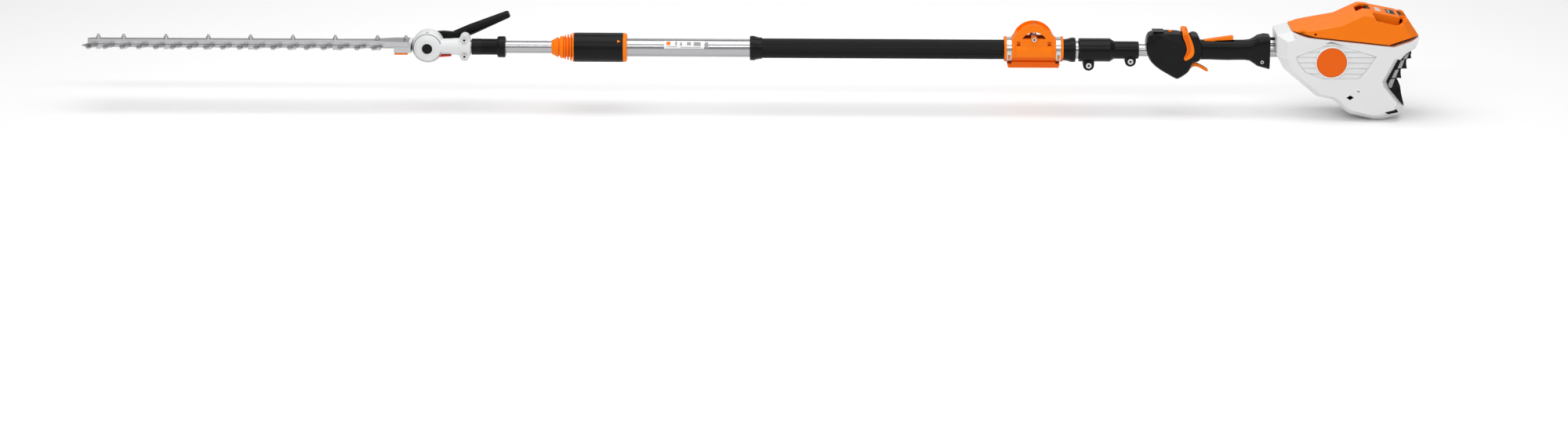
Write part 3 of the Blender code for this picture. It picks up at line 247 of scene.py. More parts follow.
materials = {name: makeFinish(name, values) for name, values in finishes.items()}
print("finishes ready")


def mergeDoubles(bm):
    bmesh.ops.remove_doubles(bm, verts=bm.verts, dist=0.001 * mm)


def dissolveFlat(bm, degrees=0.5):
    bmesh.ops.dissolve_limit(bm, verts=bm.verts, edges=bm.edges, angle_limit=radians(degrees))


def vertsOf(made):
    return [part for part in made["geom"] if isinstance(part, bmesh.types.BMVert)]


def evenNormals(piece):
    even = piece.modifiers.new("evenFaces", "WEIGHTED_NORMAL")
    even.keep_sharp = True


def closePiece(name, bm, finish, body, replaced="", smoothAngle=35, recalc=True):
    mergeDoubles(bm)
    if recalc:
        bmesh.ops.recalc_face_normals(bm, faces=bm.faces)
    mesh = bpy.data.meshes.new(name)
    bm.to_mesh(mesh)
    bm.free()
    mesh.materials.append(materials[finish])
    mesh.shade_smooth()
    mesh.set_sharp_from_angle(angle=radians(smoothAngle))
    piece = bpy.data.objects.new(name, mesh)
    bpy.context.scene.collection.objects.link(piece)
    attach(piece, body)
    if replaced:
        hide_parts(replaced)
    return piece


def refined(node, finish, width=0.6, segments=2, sharp=30, hollows=()):
    # a CAD piece with its moulded or ground edges rounded off, and shallow hollows cut first where it has them
    bm = bmesh.new()
    bm.from_mesh(nodes[node].data)
    mergeDoubles(bm)
    for hollow in hollows:
        bm = carved(bm, hollow)
    dissolveFlat(bm, 0.8)
    if width:
        bevelSharp(bm, width, segments, sharp)
    evenNormals(closePiece(node + "_piece", bm, finish, bodyOf[node], node, recalc=False))


def carved(bm, cutter, operation="DIFFERENCE"):
    # one closed mesh with another taken out of it, joined to it or kept to it
    pair = []
    for shape in (bm, cutter):
        mesh = bpy.data.meshes.new("shape")
        shape.to_mesh(mesh)
        shape.free()
        made = bpy.data.objects.new("shape", mesh)
        bpy.context.scene.collection.objects.link(made)
        pair.append(made)
    whole, tool = pair
    cut = whole.modifiers.new("cut", "BOOLEAN")
    cut.operation = operation
    cut.solver = "EXACT"
    cut.object = tool
    bpy.context.view_layer.update()
    left = bpy.data.meshes.new_from_object(whole.evaluated_get(bpy.context.evaluated_depsgraph_get()))
    result = bmesh.new()
    result.from_mesh(left)
    mergeDoubles(result)
    for made in pair:
        mesh = made.data
        bpy.data.objects.remove(made)
        bpy.data.meshes.remove(mesh)
    bpy.data.meshes.remove(left)
    return result


def rounded(piece, width, segments=3, least=25):
    soften = piece.modifiers.new("softEdges", "BEVEL")
    soften.width = width * mm
    soften.segments = segments
    soften.limit_method = "ANGLE"
    soften.angle_limit = radians(least)
    evenNormals(piece)


def spun(name, profile, finish, body, replaced="", steps=64, centre=(0, 0, 0), facing=False, closed=True):
    # turns (along, radius) points about the tool's length, or about the line of sight where the piece faces front
    bm = bmesh.new()
    chain = [bm.verts.new((along * mm, radius * mm, 0)) for along, radius in profile]
    edges = [bm.edges.new(pair) for pair in zip(chain, chain[1:])]
    if closed:
        edges.append(bm.edges.new((chain[-1], chain[0])))
    bmesh.ops.spin(bm, geom=chain + edges, cent=(0, 0, 0), axis=(1, 0, 0), angle=2 * pi, steps=steps, use_merge=True)
    mergeDoubles(bm)
    if facing:
        bmesh.ops.rotate(bm, verts=bm.verts, cent=(0, 0, 0), matrix=Matrix.Rotation(-pi / 2, 3, "Z"))
    bmesh.ops.translate(bm, verts=bm.verts, vec=place(*centre))
    return closePiece(name, bm, finish, body, replaced)


def plateMesh(outline, low, high, axis="Y"):
    # an outline across Y or Z, drawn out from low to high
    bm = bmesh.new()
    if axis == "Y":
        ring = [bm.verts.new(place(x, low, z)) for x, z in outline]
        step = Vector((0, (high - low) * mm, 0))
    else:
        ring = [bm.verts.new(place(x, y, low)) for x, y in outline]
        step = Vector((0, 0, (high - low) * mm))
    face = bm.faces.new(ring)
    made = bmesh.ops.extrude_face_region(bm, geom=[face])
    bmesh.ops.translate(bm, verts=vertsOf(made), vec=step)
    bmesh.ops.recalc_face_normals(bm, faces=bm.faces)
    return bm


def bevelSharp(bm, width, segments=2, sharp=30):
    edges = [e for e in bm.edges if len(e.link_faces) == 2 and e.calc_face_angle(0) > radians(sharp)]
    bmesh.ops.bevel(bm, geom=edges, offset=width * mm, affect="EDGES", segments=segments, profile=0.5,
                    clamp_overlap=True, material=-1)


def plate(name, outline, low, high, finish, body, replaced="", width=0.5):
    bm = plateMesh(outline, low, high)
    if width:
        bevelSharp(bm, width)
    return closePiece(name, bm, finish, body, replaced)


# camera, floor and lamps come before the pieces
view = dict(aimX=73, elevation=14.0, distance=8.0, roll=0.3, lens=89.4, sensor=36, shiftY=-0.1075, clipEnd=100)
stage = dict(size=14, colour=0.965, rough=0.9, world=0.38)


def makeCamera():
    data = bpy.data.cameras.new("camera")
    camera = bpy.data.objects.new("camera", data)
    bpy.context.scene.collection.objects.link(camera)
    data.lens = view["lens"]
    data.sensor_width = view["sensor"]
    data.shift_y = view["shiftY"]
    tilt = radians(view["elevation"])
    target = place(view["aimX"], 0, 0)
    camera.location = target + Vector((0, -cos(tilt), sin(tilt))) * view["distance"]
    roll = Matrix.Rotation(radians(view["roll"]), 4, "Z")
    camera.rotation_euler = (Matrix.Rotation(pi / 2 - tilt, 4, "X") @ roll).to_euler()
    data.clip_end = view["clipEnd"]
    bpy.context.scene.camera = camera


def makeStage():
    bm = bmesh.new()
    bmesh.ops.create_grid(bm, x_segments=2, y_segments=2, size=stage["size"])
    mesh = bpy.data.meshes.new("floor")
    bm.to_mesh(mesh)
    bm.free()
    floor = bpy.data.objects.new("floor", mesh)
    bpy.context.scene.collection.objects.link(floor)
    paint = bpy.data.materials.new("paleFloor")
    paint.use_nodes = True
    shader = paint.node_tree.nodes["Principled BSDF"]
    shader.inputs["Base Color"].default_value = (stage["colour"], stage["colour"], stage["colour"], 1)
    shader.inputs["Roughness"].default_value = stage["rough"]
    mesh.materials.append(paint)


lamps = {
    "overhead": dict(at=(0.0, -0.4, 3.2), aim=(0, 0, 0.1), size=(5.0, 2.8), watts=94),
    "frontStrip": dict(at=(0.0, -3.4, 2.5), aim=(0, 0, 0.1), size=(5.0, 0.3), watts=44),
    "rearEdge": dict(at=(0.6, 2.4, 1.8), aim=(0, 0, 0.1), size=(4.0, 0.6), watts=10),
}


def makeLamps():
    for name, values in lamps.items():
        data = bpy.data.lights.new(name, "AREA")
        data.shape = "RECTANGLE"
        data.size, data.size_y = values["size"]
        data.energy = values["watts"]
        lamp = bpy.data.objects.new(name, data)
        bpy.context.scene.collection.objects.link(lamp)
        lamp.location = values["at"]
        lamp.rotation_euler = (Vector(values["aim"]) - Vector(values["at"])).to_track_quat("-Z", "Y").to_euler()
    world = bpy.data.worlds.new("studio")
    world.use_nodes = True
    sky = world.node_tree.nodes["Background"]
    sky.inputs["Color"].default_value = (1, 1, 1, 1)
    sky.inputs["Strength"].default_value = stage["world"]
    bpy.context.scene.world = world
    bpy.context.scene.view_settings.view_transform = "Standard"


makeCamera()
makeStage()
makeLamps()
print("camera, floor and lamps ready")

plainPieces = {
    "groundSteel": ["lock_pin", "drive_shaft_front", "drive_shaft_rear", "crank_gear", "motor_stator"],
    "blackPlastic": ["shaft_bush_front", "guide_bush", "trigger_switch"],
    "copperWinding": ["motor_rotor"],
    "boardGreen": ["controller_board"],
    "filterFelt": ["air_filter"],
}
for finish, names in plainPieces.items():
    for node in names:
        nodes[node].data.materials.clear()
        nodes[node].data.materials.append(materials[finish])

# rounding of each moulded, cast or ground edge
roundedPieces = {
    "orangePlastic": dict(harness_saddle=0.5, base_guard=0.8, mode_button=0.6,
                          clamp_collet=0.3, clamp_end_ring=0.4, battery=1.6),
    # the keel under the harness takes the darker orange as painted shade
    "deepOrangeAndShade": dict(harness_keel=0.8),
    "blackPlastic": dict(front_collar=0.5, rear_collar=0.5, reducer_sleeve=0.5, battery_latch_front=1.2,
                         battery_latch_rear=1.2, swivel_lever=1.0, pivot_cap=0.5),
    "glossBlack": dict(display_panel=1.2),
    "blackRubber": dict(clamp_grip=1.0),
    "castWhite": dict(head_case=0.6, joint_housing=0.8, clamp_cap=0.6),
    "groundSteel": dict(upper_blade=0.25, lower_blade=0.25, guide_bar=0.35),
    "brightSteel": dict(joint_screw_1=0.4, joint_screw_2=0.4, guard_screw=0.3, harness_band_front=0.15,
                        harness_band_rear=0.15, harness_bolt=0.3, harness_eye=0.3, reducer_screw_1=0.4,
                        reducer_screw_2=0.4, handle_screw=0.3),
}
for finish, names in roundedPieces.items():
    for node, width in names.items():
        refined(node, finish, width)


controlShape = dict(
    hull=[(815.0, 2.0), (815.5, 28.0), (825.5, 40.0), (884.0, 40.0), (893.0, 33.0), (903.0, 22.0), (914.0, 10.0),
          (919.0, -10.0), (913.0, -22.0), (909.0, -33.0), (903.0, -44.0), (884.0, -57.0), (877.0, -57.0),
          (827.0, -27.0)],
    hump=[(896.0, 8.0), (903.0, 26.0), (907.0, 36.5), (921.0, 36.5), (927.0, 24.0), (931.0, 0.0), (927.0, -19.0),
          (913.0, -22.0), (900.0, -14.0)],
    hullCentre=(865.0, -5.0), humpCentre=(914.0, 8.0),
    crown=((0.0, 1.0), (12.0, 1.0), (16.0, 0.99), (19.5, 0.965), (22.0, 0.93), (23.4, 0.88), (24.0, 0.8)),
    handle=[(921.0, 23.0, -18.0, 17.5, 2.6), (936.0, 22.3, -18.2, 17.2, 2.5), (952.0, 22.0, -18.5, 17.0, 2.4),
            (970.0, 22.2, -19.2, 16.7, 2.4), (985.0, 22.5, -19.5, 16.5, 2.4), (1002.0, 22.5, -19.0, 16.8, 2.4),
            (1018.0, 22.6, -18.8, 17.3, 2.5), (1029.0, 23.6, -20.0, 18.4, 2.7), (1037.0, 27.0, -25.0, 20.8, 3.2),
            (1045.0, 31.6, -30.0, 23.6, 4.0), (1058.0, 34.5, -33.0, 25.0, 4.5), (1069.0, 33.0, -36.0, 25.0, 5.0)],
    wall=2.6, shrinkAt=34.0, gap=0.3, ringPoints=40, edgeRound=1.6, edgeSegments=3, edgeLeast=18,
    flats=((848, 33, 899, 15, 884, 40), (816, 6, 848, 33, 824, 40)), flatDepth=8.0,
    ends=(790, 1100), heights=(-90, 70), side=60,
)
# centre, radius and length of each round way through the shells, and its axis
controlRods = {
    "tube": dict(at=(950, 0, 0), radius=13.0, length=300, axis="X", sides=64),
    "button": dict(at=(865, 0, 39), radius=4.8, length=12, axis="Z", sides=32),
    "cable": dict(at=(1072, 0, 25.5), radius=3.9, length=36, axis="X", sides=32),
    "screw": dict(at=(1053, -30, -18), radius=4.3, length=20, axis="Y", sides=32),
    "dimple": dict(at=(829.0, -24, -18.0), radius=3.4, length=3.2, axis="Y", sides=24),
}
controlBoxes = {
    "trigger": ((896, -6.3, -46), (922, 6.3, -16)),
    "lever": ((933, -6.8, 14), (997, 6.8, 40)),
    "display": ((826, -14, 39.7), (854, 14, 45)),
}
turns = {"X": (pi / 2, "Y"), "Y": (pi / 2, "X"), "Z": (0, "X")}


def softened(outline, rounds=2):
    # each corner cut back a quarter of the way, so the outline rounds off inside itself
    for _ in range(rounds):
        pairs = zip(outline, outline[1:] + outline[:1])
        outline = [(a[0] + (b[0] - a[0]) * share, a[1] + (b[1] - a[1]) * share) for a, b in pairs
                   for share in (0.25, 0.75)]
    return outline


def loftMesh(rings):
    # rings of points in order, joined along their length and closed at both ends
    bm = bmesh.new()
    loops = []
    for ring in rings:
        verts = [bm.verts.new(place(*point)) for point in ring]
        loops.append([bm.edges.new(pair) for pair in zip(verts, verts[1:] + verts[:1])])
    for loop, following in zip(loops, loops[1:]):
        bmesh.ops.bridge_loops(bm, edges=loop + following)
    bmesh.ops.holes_fill(bm, edges=loops[0] + loops[-1], sides=0)
    bmesh.ops.recalc_face_normals(bm, faces=bm.faces)
    return bm


def crownedMesh(outline, centre, inset=0.0):
    # an outline that draws in towards its two domed faces
    x, z = centre
    half = controlShape["crown"][-1][0]
    shrunk = 1 - inset / controlShape["shrinkAt"]
    steps = [(width * (half - inset) / half, share * shrunk) for width, share in controlShape["crown"]]
    sides = [(-width, share) for width, share in reversed(steps[1:])] + steps
    return loftMesh([[(x + (a - x) * share, width, z + (b - z) * share) for a, b in outline]
                     for width, share in sides])


def handleRing(section, inset):
    # one squarish ring round the handle: x, top, bottom, half width and how square it is
    x, top, bottom, half, squareness = section
    middle, tall = (top + bottom) / 2, (top - bottom) / 2 - inset
    ring = []
    for index in range(controlShape["ringPoints"]):
        angle = 2 * pi * index / controlShape["ringPoints"]
        across, up = cos(angle), sin(angle)
        across = (half - inset) * abs(across) ** (2 / squareness) * (1 if across > 0 else -1)
        up = tall * abs(up) ** (2 / squareness) * (1 if up > 0 else -1)
        ring.append((x, across, middle + up))
    return ring


def handleMesh(inset=0.0):
    sections = list(controlShape["handle"])
    if inset:
        sections[-1] = (sections[-1][0] - inset, *sections[-1][1:])
    return loftMesh([handleRing(section, inset) for section in sections])


def boxMesh(low, high):
    (x0, y0, z0), (x1, y1, z1) = low, high
    return plateMesh([(x0, z0), (x1, z0), (x1, z1), (x0, z1)], y0, y1)


def rodMesh(at, radius, length, axis, sides):
    bm = bmesh.new()
    angle, about = turns[axis]
    bmesh.ops.create_cone(bm, cap_ends=True, segments=sides, radius1=radius * mm, radius2=radius * mm,
                          depth=length * mm, matrix=Matrix.Translation(place(*at)) @ Matrix.Rotation(angle, 4, about))
    return bm


def flattened(bm, flat, side, inset=0.0):
    # a broad flat taken off one upper corner of the hull, and off the hollow behind it
    x1, z1, x2, z2, x3, z3 = flat
    half = controlShape["crown"][-1][0]
    first = place(x1, half * side, z1)
    along = place(x2, half * side, z2) - first
    inward = place(x3, (half - controlShape["flatDepth"]) * side, z3) - first
    normal = along.cross(inward)
    if normal.y * side < 0:
        normal.negate()
    first -= normal.normalized() * inset * mm
    whole = bm.verts[:] + bm.edges[:] + bm.faces[:]
    made = bmesh.ops.bisect_plane(bm, geom=whole, plane_co=first, plane_no=normal, clear_outer=True)
    cut = [part for part in made["geom_cut"] if isinstance(part, bmesh.types.BMEdge)]
    bmesh.ops.holes_fill(bm, edges=cut, sides=0)
    bmesh.ops.recalc_face_normals(bm, faces=bm.faces)


def makeControlShells():
    shape = controlShape
    wall = shape["wall"]
    hull = crownedMesh(softened(shape["hull"]), shape["hullCentre"])
    inside = crownedMesh(softened(shape["hull"]), shape["hullCentre"], wall)
    for flat in shape["flats"]:
        for side in (-1, 1):
            flattened(hull, flat, side)
            flattened(inside, flat, side, wall)
    whole = carved(hull, crownedMesh(softened(shape["hump"]), shape["humpCentre"]), "UNION")
    whole = carved(whole, handleMesh(), "UNION")
    hollow = carved(inside, handleMesh(wall), "UNION")
    whole = carved(whole, hollow)
    ways = [rodMesh(**controlRods["tube"]), boxMesh(*controlBoxes["trigger"]), boxMesh(*controlBoxes["lever"]),
            rodMesh(**controlRods["button"]), rodMesh(**controlRods["cable"]), rodMesh(**controlRods["screw"]),
            boxMesh(*controlBoxes["display"]), rodMesh(**controlRods["dimple"])]
    for way in ways:
        whole = carved(whole, way)
    (start, end), (bottom, top) = shape["ends"], shape["heights"]
    middle = shape["gap"] / 2
    for node, low, high in (("control_shell_near", -shape["side"], -middle),
                            ("control_shell_far", middle, shape["side"])):
        half = carved(whole.copy(), boxMesh((start, low, bottom), (end, high, top)), "INTERSECT")
        dissolveFlat(half)
        piece = closePiece(node + "_piece", half, "blackPlastic", bodyOf[node], node, 32, recalc=False)
        rounded(piece, shape["edgeRound"], shape["edgeSegments"], shape["edgeLeast"])
    whole.free()


makeControlShells()

slideShape = dict(
    cheek=[(888.5, 39.3), (889, 45), (899, 45), (903, 37), (909.6, 22), (913.6, 6), (912.5, -3), (908, -9.5),
           (901, -13.5), (896, -16), (892.5, -12.5), (892.8, -9), (896.3, -2), (898.4, 6), (897.5, 14), (894, 24),
           (890, 32)],
    channel=[(889.8, 38.5), (897.3, 38.5), (898.9, 35.3), (903.2, 24.2), (906.4, 13.1), (905.5, 2.1), (901, -4.6),
             (896, -9.8), (894.5, -8), (897.3, -2), (899.6, 6), (898.7, 14), (895.2, 24), (891.2, 32)],
    thumb=[(896, 43), (896, 48.5), (899, 48.5), (900.5, 43)], thumbHalf=9,
    half=26.6, inner=24.3, deep=1.0, clear=3, edge=0.6, core=(870, 930, -40, 40.4),
)


def makeSlide():
    # a crescent cheek each side of the housing, with a sunk channel and a bridge over the top
    shape = slideShape
    half, inner, clear = shape["half"], shape["inner"], shape["clear"]
    floor = half - shape["deep"]
    x0, x1, z0, z1 = shape["core"]
    bm = plateMesh(softened(shape["cheek"], 1), -half, half)
    bm = carved(bm, boxMesh((x0, -inner, z0), (x1, inner, z1)))
    bm = carved(bm, plateMesh(shape["thumb"], -shape["thumbHalf"], shape["thumbHalf"]), "UNION")
    channel = softened(shape["channel"], 1)
    bm = carved(bm, plateMesh(channel, -half - clear, -floor))
    bm = carved(bm, plateMesh(channel, floor, half + clear))
    dissolveFlat(bm)
    piece = closePiece("ring_slide_piece", bm, "orangePlastic", bodyOf["ring_slide"], "ring_slide", 32, recalc=False)
    # the sunk channel floors take the darker orange as painted shade in the recess
    piece.data.materials.append(materials["deepOrangeAndShade"])
    for face in piece.data.polygons:
        if abs(abs(face.center.y) - floor * mm) < 0.05 * mm and abs(face.normal.y) > 0.9:
            face.material_index = 1
    rounded(piece, shape["edge"])


leverShapes = {
    "trigger": dict(outline=[(889, -30), (897, -26), (905, -24.5), (915, -25), (926, -28), (944, -38), (945.5, -42),
                             (941, -43.5), (926, -34), (915, -31.5), (908, -38), (897, -40), (889, -39)],
                    half=6.0, edge=1.9, rounds=2),
    "lockout_lever": dict(outline=[(935, 17.5), (935, 23), (960, 27), (994.5, 32), (994.5, 24), (960, 22), (945, 17.5)],
                          half=6.5, edge=1.0, rounds=0),
}


def makeLevers():
    for node, lever in leverShapes.items():
        bm = plateMesh(softened(lever["outline"], lever["rounds"]), -lever["half"], lever["half"])
        piece = closePiece(node + "_piece", bm, "orangePlastic", bodyOf[node], node)
        rounded(piece, lever["edge"])


makeSlide()
makeLevers()

# the blade carrier past the drum is bare metal
carrierEnd = -691.5
carrier = bpy.data.objects["head_case_piece"].data
carrier.materials.append(materials["groundSteel"])
for face in carrier.polygons:
    if face.center.x < carrierEnd * mm:
        face.material_index = 1

tubeShapes = {
    "inner_tube": dict(start=-598.0, end=400.0, radius=12.7, wall=1.5, body="boom"),
    "outer_tube": dict(start=-352.0, end=677.0, radius=18.6, wall=1.5, body="pole"),
    "rear_tube": dict(start=705.0, end=1112.0, radius=12.7, wall=1.5, body="pole"),
}
tubeEnd = dict(lip=0.4, steps=96)


def makeTubes():
    lip = tubeEnd["lip"]
    for name, tube in tubeShapes.items():
        start, end, outer = tube["start"], tube["end"], tube["radius"]
        inner = outer - tube["wall"]
        profile = [(start, inner + lip), (start, outer - lip), (start + lip, outer), (end - lip, outer),
                   (end, outer - lip), (end, inner + lip), (end - lip, inner), (start + lip, inner)]
        spun(name + "_piece", profile, "drawnAluminium", tube["body"], name, tubeEnd["steps"])


makeTubes()
print("rounded pieces ready")


hoseShape = dict(start=14.0, end=654.0, ridge=20.1, groove=19.45, inner=18.95, flutes=34,
                 pattern=(1.0, 1.0, 1.0, 0.5, 0.0, 0.5), softAngle=50)


def makeHose():
    # lengthwise flutes round the tube
    shape = hoseShape
    bm = bmesh.new()
    turn = Matrix.Rotation(pi / 2, 4, "Y")
    count = shape["flutes"] * len(shape["pattern"])
    outer = bmesh.ops.create_circle(bm, segments=count, radius=1, matrix=turn)["verts"]
    inner = bmesh.ops.create_circle(bm, segments=count, radius=shape["inner"] * mm, matrix=turn)["verts"]
    for index, vert in enumerate(outer):
        height = shape["pattern"][index % len(shape["pattern"])]
        vert.co *= (shape["groove"] + (shape["ridge"] - shape["groove"]) * height) * mm
    bmesh.ops.bridge_loops(bm, edges=bm.edges)
    made = bmesh.ops.extrude_face_region(bm, geom=bm.faces[:])
    bmesh.ops.translate(bm, verts=vertsOf(made), vec=((shape["end"] - shape["start"]) * mm, 0, 0))
    bmesh.ops.translate(bm, verts=bm.verts, vec=place(shape["start"], 0, 0))
    return closePiece("grip_hose_piece", bm, "blackRubber", "pole", "grip_hose", shape["softAngle"])


sleeveShape = dict(start=-568.5, rim=-514.0, end=-498.5, skin=16.65, groove=15.9, rimRadius=21.8, bore=13.1,
                   firstRib=-546.0, ribStep=3.3, ribs=9)


def makeLockSleeve():
    shape = sleeveShape
    profile = [(shape["start"], shape["bore"]), (shape["start"], shape["skin"] - 0.8),
               (shape["start"] + 0.8, shape["skin"])]
    for index in range(shape["ribs"]):
        at = shape["firstRib"] + index * shape["ribStep"]
        profile += [(at - 0.7, shape["skin"]), (at - 0.3, shape["groove"]), (at + 0.3, shape["groove"]),
                    (at + 0.7, shape["skin"])]
    rim, end = shape["rim"], shape["end"]
    profile += [(rim - 2.0, shape["skin"]), (rim - 1.0, 20.6), (rim + 0.8, shape["rimRadius"]),
                (end - 2.5, shape["rimRadius"]), (end - 0.9, 21.0), (end, 18.6), (end, shape["bore"])]
    return spun("lock_sleeve_piece", profile, "blackRubber", "lock", "lock_sleeve", 72)


makeHose()
makeLockSleeve()
print("hose and sleeve ready")


louvreArea = dict(outline=[(1118, 4), (1187, 32.5), (1281, 5), (1262, -25), (1247, -42), (1172, -42), (1136, -29),
                           (1118, -4)],
                  top=26.5, lowest=-41.5, step=11.5, count=6, face=-65.0, depth=2.2, proud=1.5, slot=1.3,
                  margin=1.0, middle=(1198, -5), backScale=0.9, backGap=0.05, backThick=0.7)
housingMarks = dict(slit=(1247.0, -69.0, 2.6, 0.9), slitDrop=1.2, diamond=(1230.5, -82.0, 7.9, 5.2),
                    footPlace=(1317.0, -112.8), foot=[(-14.7, 0.8), (-6.5, -5.9), (14.5, -1.2), (9.8, 5.9)],
                    cutFrom=-70.0, diamondDepth=-52.0, slitDepth=-60.0, footDepth=-53.0, footFloor=(-56.5, -53.5))
# fills the housing's side out to full depth under the cover's edge
shoulderShape = dict(outline=[(1112, 49.8), (1142, 42.2), (1316, 23.9), (1366, 41.0), (1359, 22.5), (1340, 10.5),
                              (1330, -2), (1290, 6.5), (1281, 9), (1187, 35.3), (1135, 15)],
                     outer=64.9, inner=41.0, edge=1.0)


def spanAt(outline, z):
    # the outline's left and right sides at one height
    crossings = []
    for (xa, za), (xb, zb) in zip(outline, outline[1:] + outline[:1]):
        if min(za, zb) <= z < max(za, zb):
            crossings.append(xa + (xb - xa) * (z - za) / (zb - za))
    return min(crossings), max(crossings)


def makeHousing():
    marks, shoulder = housingMarks, shoulderShape
    cutFrom = marks["cutFrom"]
    x, z, wide, tall = marks["diamond"]
    hollows = [plateMesh([(x - wide, z), (x, z - tall), (x + wide, z), (x, z + tall)], cutFrom, marks["diamondDepth"])]
    x, z, wide, tall = marks["slit"]
    drop = z - marks["slitDrop"]
    slit = [(x - wide, z), (x + wide, drop), (x + wide, drop + 2 * tall), (x - wide, z + 2 * tall)]
    hollows.append(plateMesh(slit, cutFrom, marks["slitDepth"]))
    x, z = marks["footPlace"]
    foot = [(x + along, z + up) for along, up in marks["foot"]]
    hollows.append(plateMesh(foot, cutFrom, marks["footDepth"]))
    refined("housing_near", "whitePlastic", 0.7, 2, 12, hollows)
    plate("foot_recess", foot, *marks["footFloor"], "blackPlastic", "pole", width=0)
    refined("housing_far", "whitePlastic", 0.9, 2, 12)
    for side, sign in (("near", -1), ("far", 1)):
        y = (sign * shoulder["outer"], sign * shoulder["inner"])
        plate(f"housing_shoulder_{side}", shoulder["outline"], min(y), max(y), "whitePlastic", "pole",
              width=shoulder["edge"])


def makeLouvres():
    area = louvreArea
    floor = area["face"] + area["depth"]
    (x, z), scale = area["middle"], area["backScale"]
    inside = [(x + (a - x) * scale, z + (b - z) * scale) for a, b in area["outline"]]
    back = floor + area["backGap"]
    closePiece("louvre_backing", plateMesh(inside, back, back + area["backThick"]), "whitePlastic", "pole")
    margin = area["margin"]
    for index in range(area["count"]):
        high = area["top"] - index * area["step"] - area["slot"]
        low = max(high - area["step"] + area["slot"], area["lowest"])
        highLeft, highRight = spanAt(area["outline"], high)
        lowLeft, lowRight = spanAt(area["outline"], low)
        bm = plateMesh([(highLeft + margin, high), (highRight - margin, high), (lowRight - margin, low),
                        (lowLeft + margin, low)], floor - 0.2, floor - 0.5)
        halfway = place(0, 0, (high + low) / 2).z
        lower = [v for v in bm.verts if v.co.z < halfway and v.co.y < (floor - 0.35) * mm]
        bmesh.ops.translate(bm, verts=lower, vec=(0, -area["proud"] * mm, 0))
        bevelSharp(bm, 0.25)
        closePiece(f"louvre_{index + 1}", bm, "whitePlastic", "pole")


coverMarks = dict(screw=dict(at=(1155.0, -55, 50.0), radius=2.6, length=20, axis="Y", sides=20),
                  slit=[(1356, 62), (1362, 52), (1364, 53), (1358, 63)], slitFrom=-70.0, slitTo=-52.0)


def makeCover():
    marks = coverMarks
    slit = plateMesh(marks["slit"], marks["slitFrom"], marks["slitTo"])
    refined("top_cover", "orangePlastic", 0.9, 2, 12, [rodMesh(**marks["screw"]), slit])


badgeShape = dict(x=1190.0, z=-8.0, disc=30.6, ring=33.4, face=67.9, foot=3.4, steps=96)


def makeBadge():
    # a domed disc in a pale ring
    shape = badgeShape
    centre = (shape["x"], 0, shape["z"])
    face, disc, outer = shape["face"], shape["disc"], shape["ring"]
    foot = face - shape["foot"]
    dome = [(foot, 0.0), (foot, disc), (face - 1.6, disc), (face - 0.9, disc - 0.6), (face - 0.45, disc * 0.6),
            (face - 0.35, 0.0)]
    ring = [(foot, disc + 0.25), (foot, outer), (face - 0.8, outer), (face - 0.1, outer - 0.6),
            (face - 0.1, disc + 0.9), (face - 0.9, disc + 0.25)]
    spun("badge_disc", dome, "deepOrangeAndShade", "pole", "badge", shape["steps"], centre, facing=True, closed=False)
    spun("badge_ring", ring, "labelWhite", "pole", "", shape["steps"], centre, facing=True)


makeHousing()
makeLouvres()
makeCover()
makeBadge()
print("motor housing ready")


grilleShape = dict(
    half=46.5, frameInset=2.0, cellInset=1.9, cellThick=0.6,
    frame=[(1331, 2.5), (1341, 9.5), (1351, 15.5), (1354.5, 12), (1353.5, 4), (1355, -3), (1347, -4.5), (1345, -7),
           (1345, -15), (1346.8, -24.5), (1336.8, -25), (1334.5, -27), (1334.5, -35), (1336.5, -44.8), (1326, -45),
           (1329, -48.5), (1334.5, -61), (1335.5, -66), (1338.5, -82), (1344.5, -103), (1313, -67), (1307.5, -52.5)],
    cells=[[(1338.5, -5), (1343, 4.5), (1351, 8.5), (1346, -4)],
           [(1327.5, -24.5), (1334.5, -7.5), (1341.5, -6.5), (1336, -24)],
           [(1316.7, -44.5), (1323.7, -27.5), (1330.7, -26.5), (1325.2, -44)],
           [(1309.8, -59), (1314.5, -47.5), (1323.5, -46.5), (1317.5, -65.5), (1312, -65)]],
    fins=[[(1347.5, -2), (1351.5, 9), (1354.5, 11.5), (1353.5, 4), (1355, -3)],
          [(1336.5, -24.5), (1341.5, -7), (1345, -8), (1345, -15), (1346.8, -24.5)],
          [(1325.7, -44.5), (1330.7, -27), (1334.5, -28), (1334.5, -35), (1336.5, -44.5)],
          [(1318.5, -66), (1324, -47.5), (1329, -48.5), (1334.5, -61), (1335.5, -66)],
          [(1326, -81.5), (1331, -67.5), (1335, -68), (1338.5, -82), (1344, -101.5)]],
)


def makeGrille():
    shape = grilleShape
    half = shape["half"]
    inner = half - shape["frameInset"]
    plate("intake_grille_piece", shape["frame"], -inner, inner, "blackPlastic", "pole", "intake_grille")
    cell = half - shape["cellInset"]
    for number, outline in enumerate(shape["cells"], 1):
        for side, sign in (("near", -1), ("far", 1)):
            y = (sign * cell, sign * (cell + shape["cellThick"]))
            plate(f"filter_cell_{side}_{number}", outline, min(y), max(y), "filterFelt", "pole", width=0.2)
    for number, outline in enumerate(shape["fins"], 1):
        plate(f"intake_fin_{number}", outline, -half, half, "blackPlastic", "pole", width=0.7)


makeGrille()
print("air intake ready")


batteryPlace = dict(x=1301.5, z=87.0, lean=11.0)


def leaning(bm):
    # from the battery's own frame, with its origin in the middle of the top face
    turn = Matrix.Rotation(radians(batteryPlace["lean"]), 4, "Y")
    at = Matrix.Translation(place(batteryPlace["x"], 0, batteryPlace["z"]))
    bmesh.ops.transform(bm, matrix=at @ turn @ Matrix.Translation((0, 0, -axisHeight)), verts=bm.verts)
    return bm


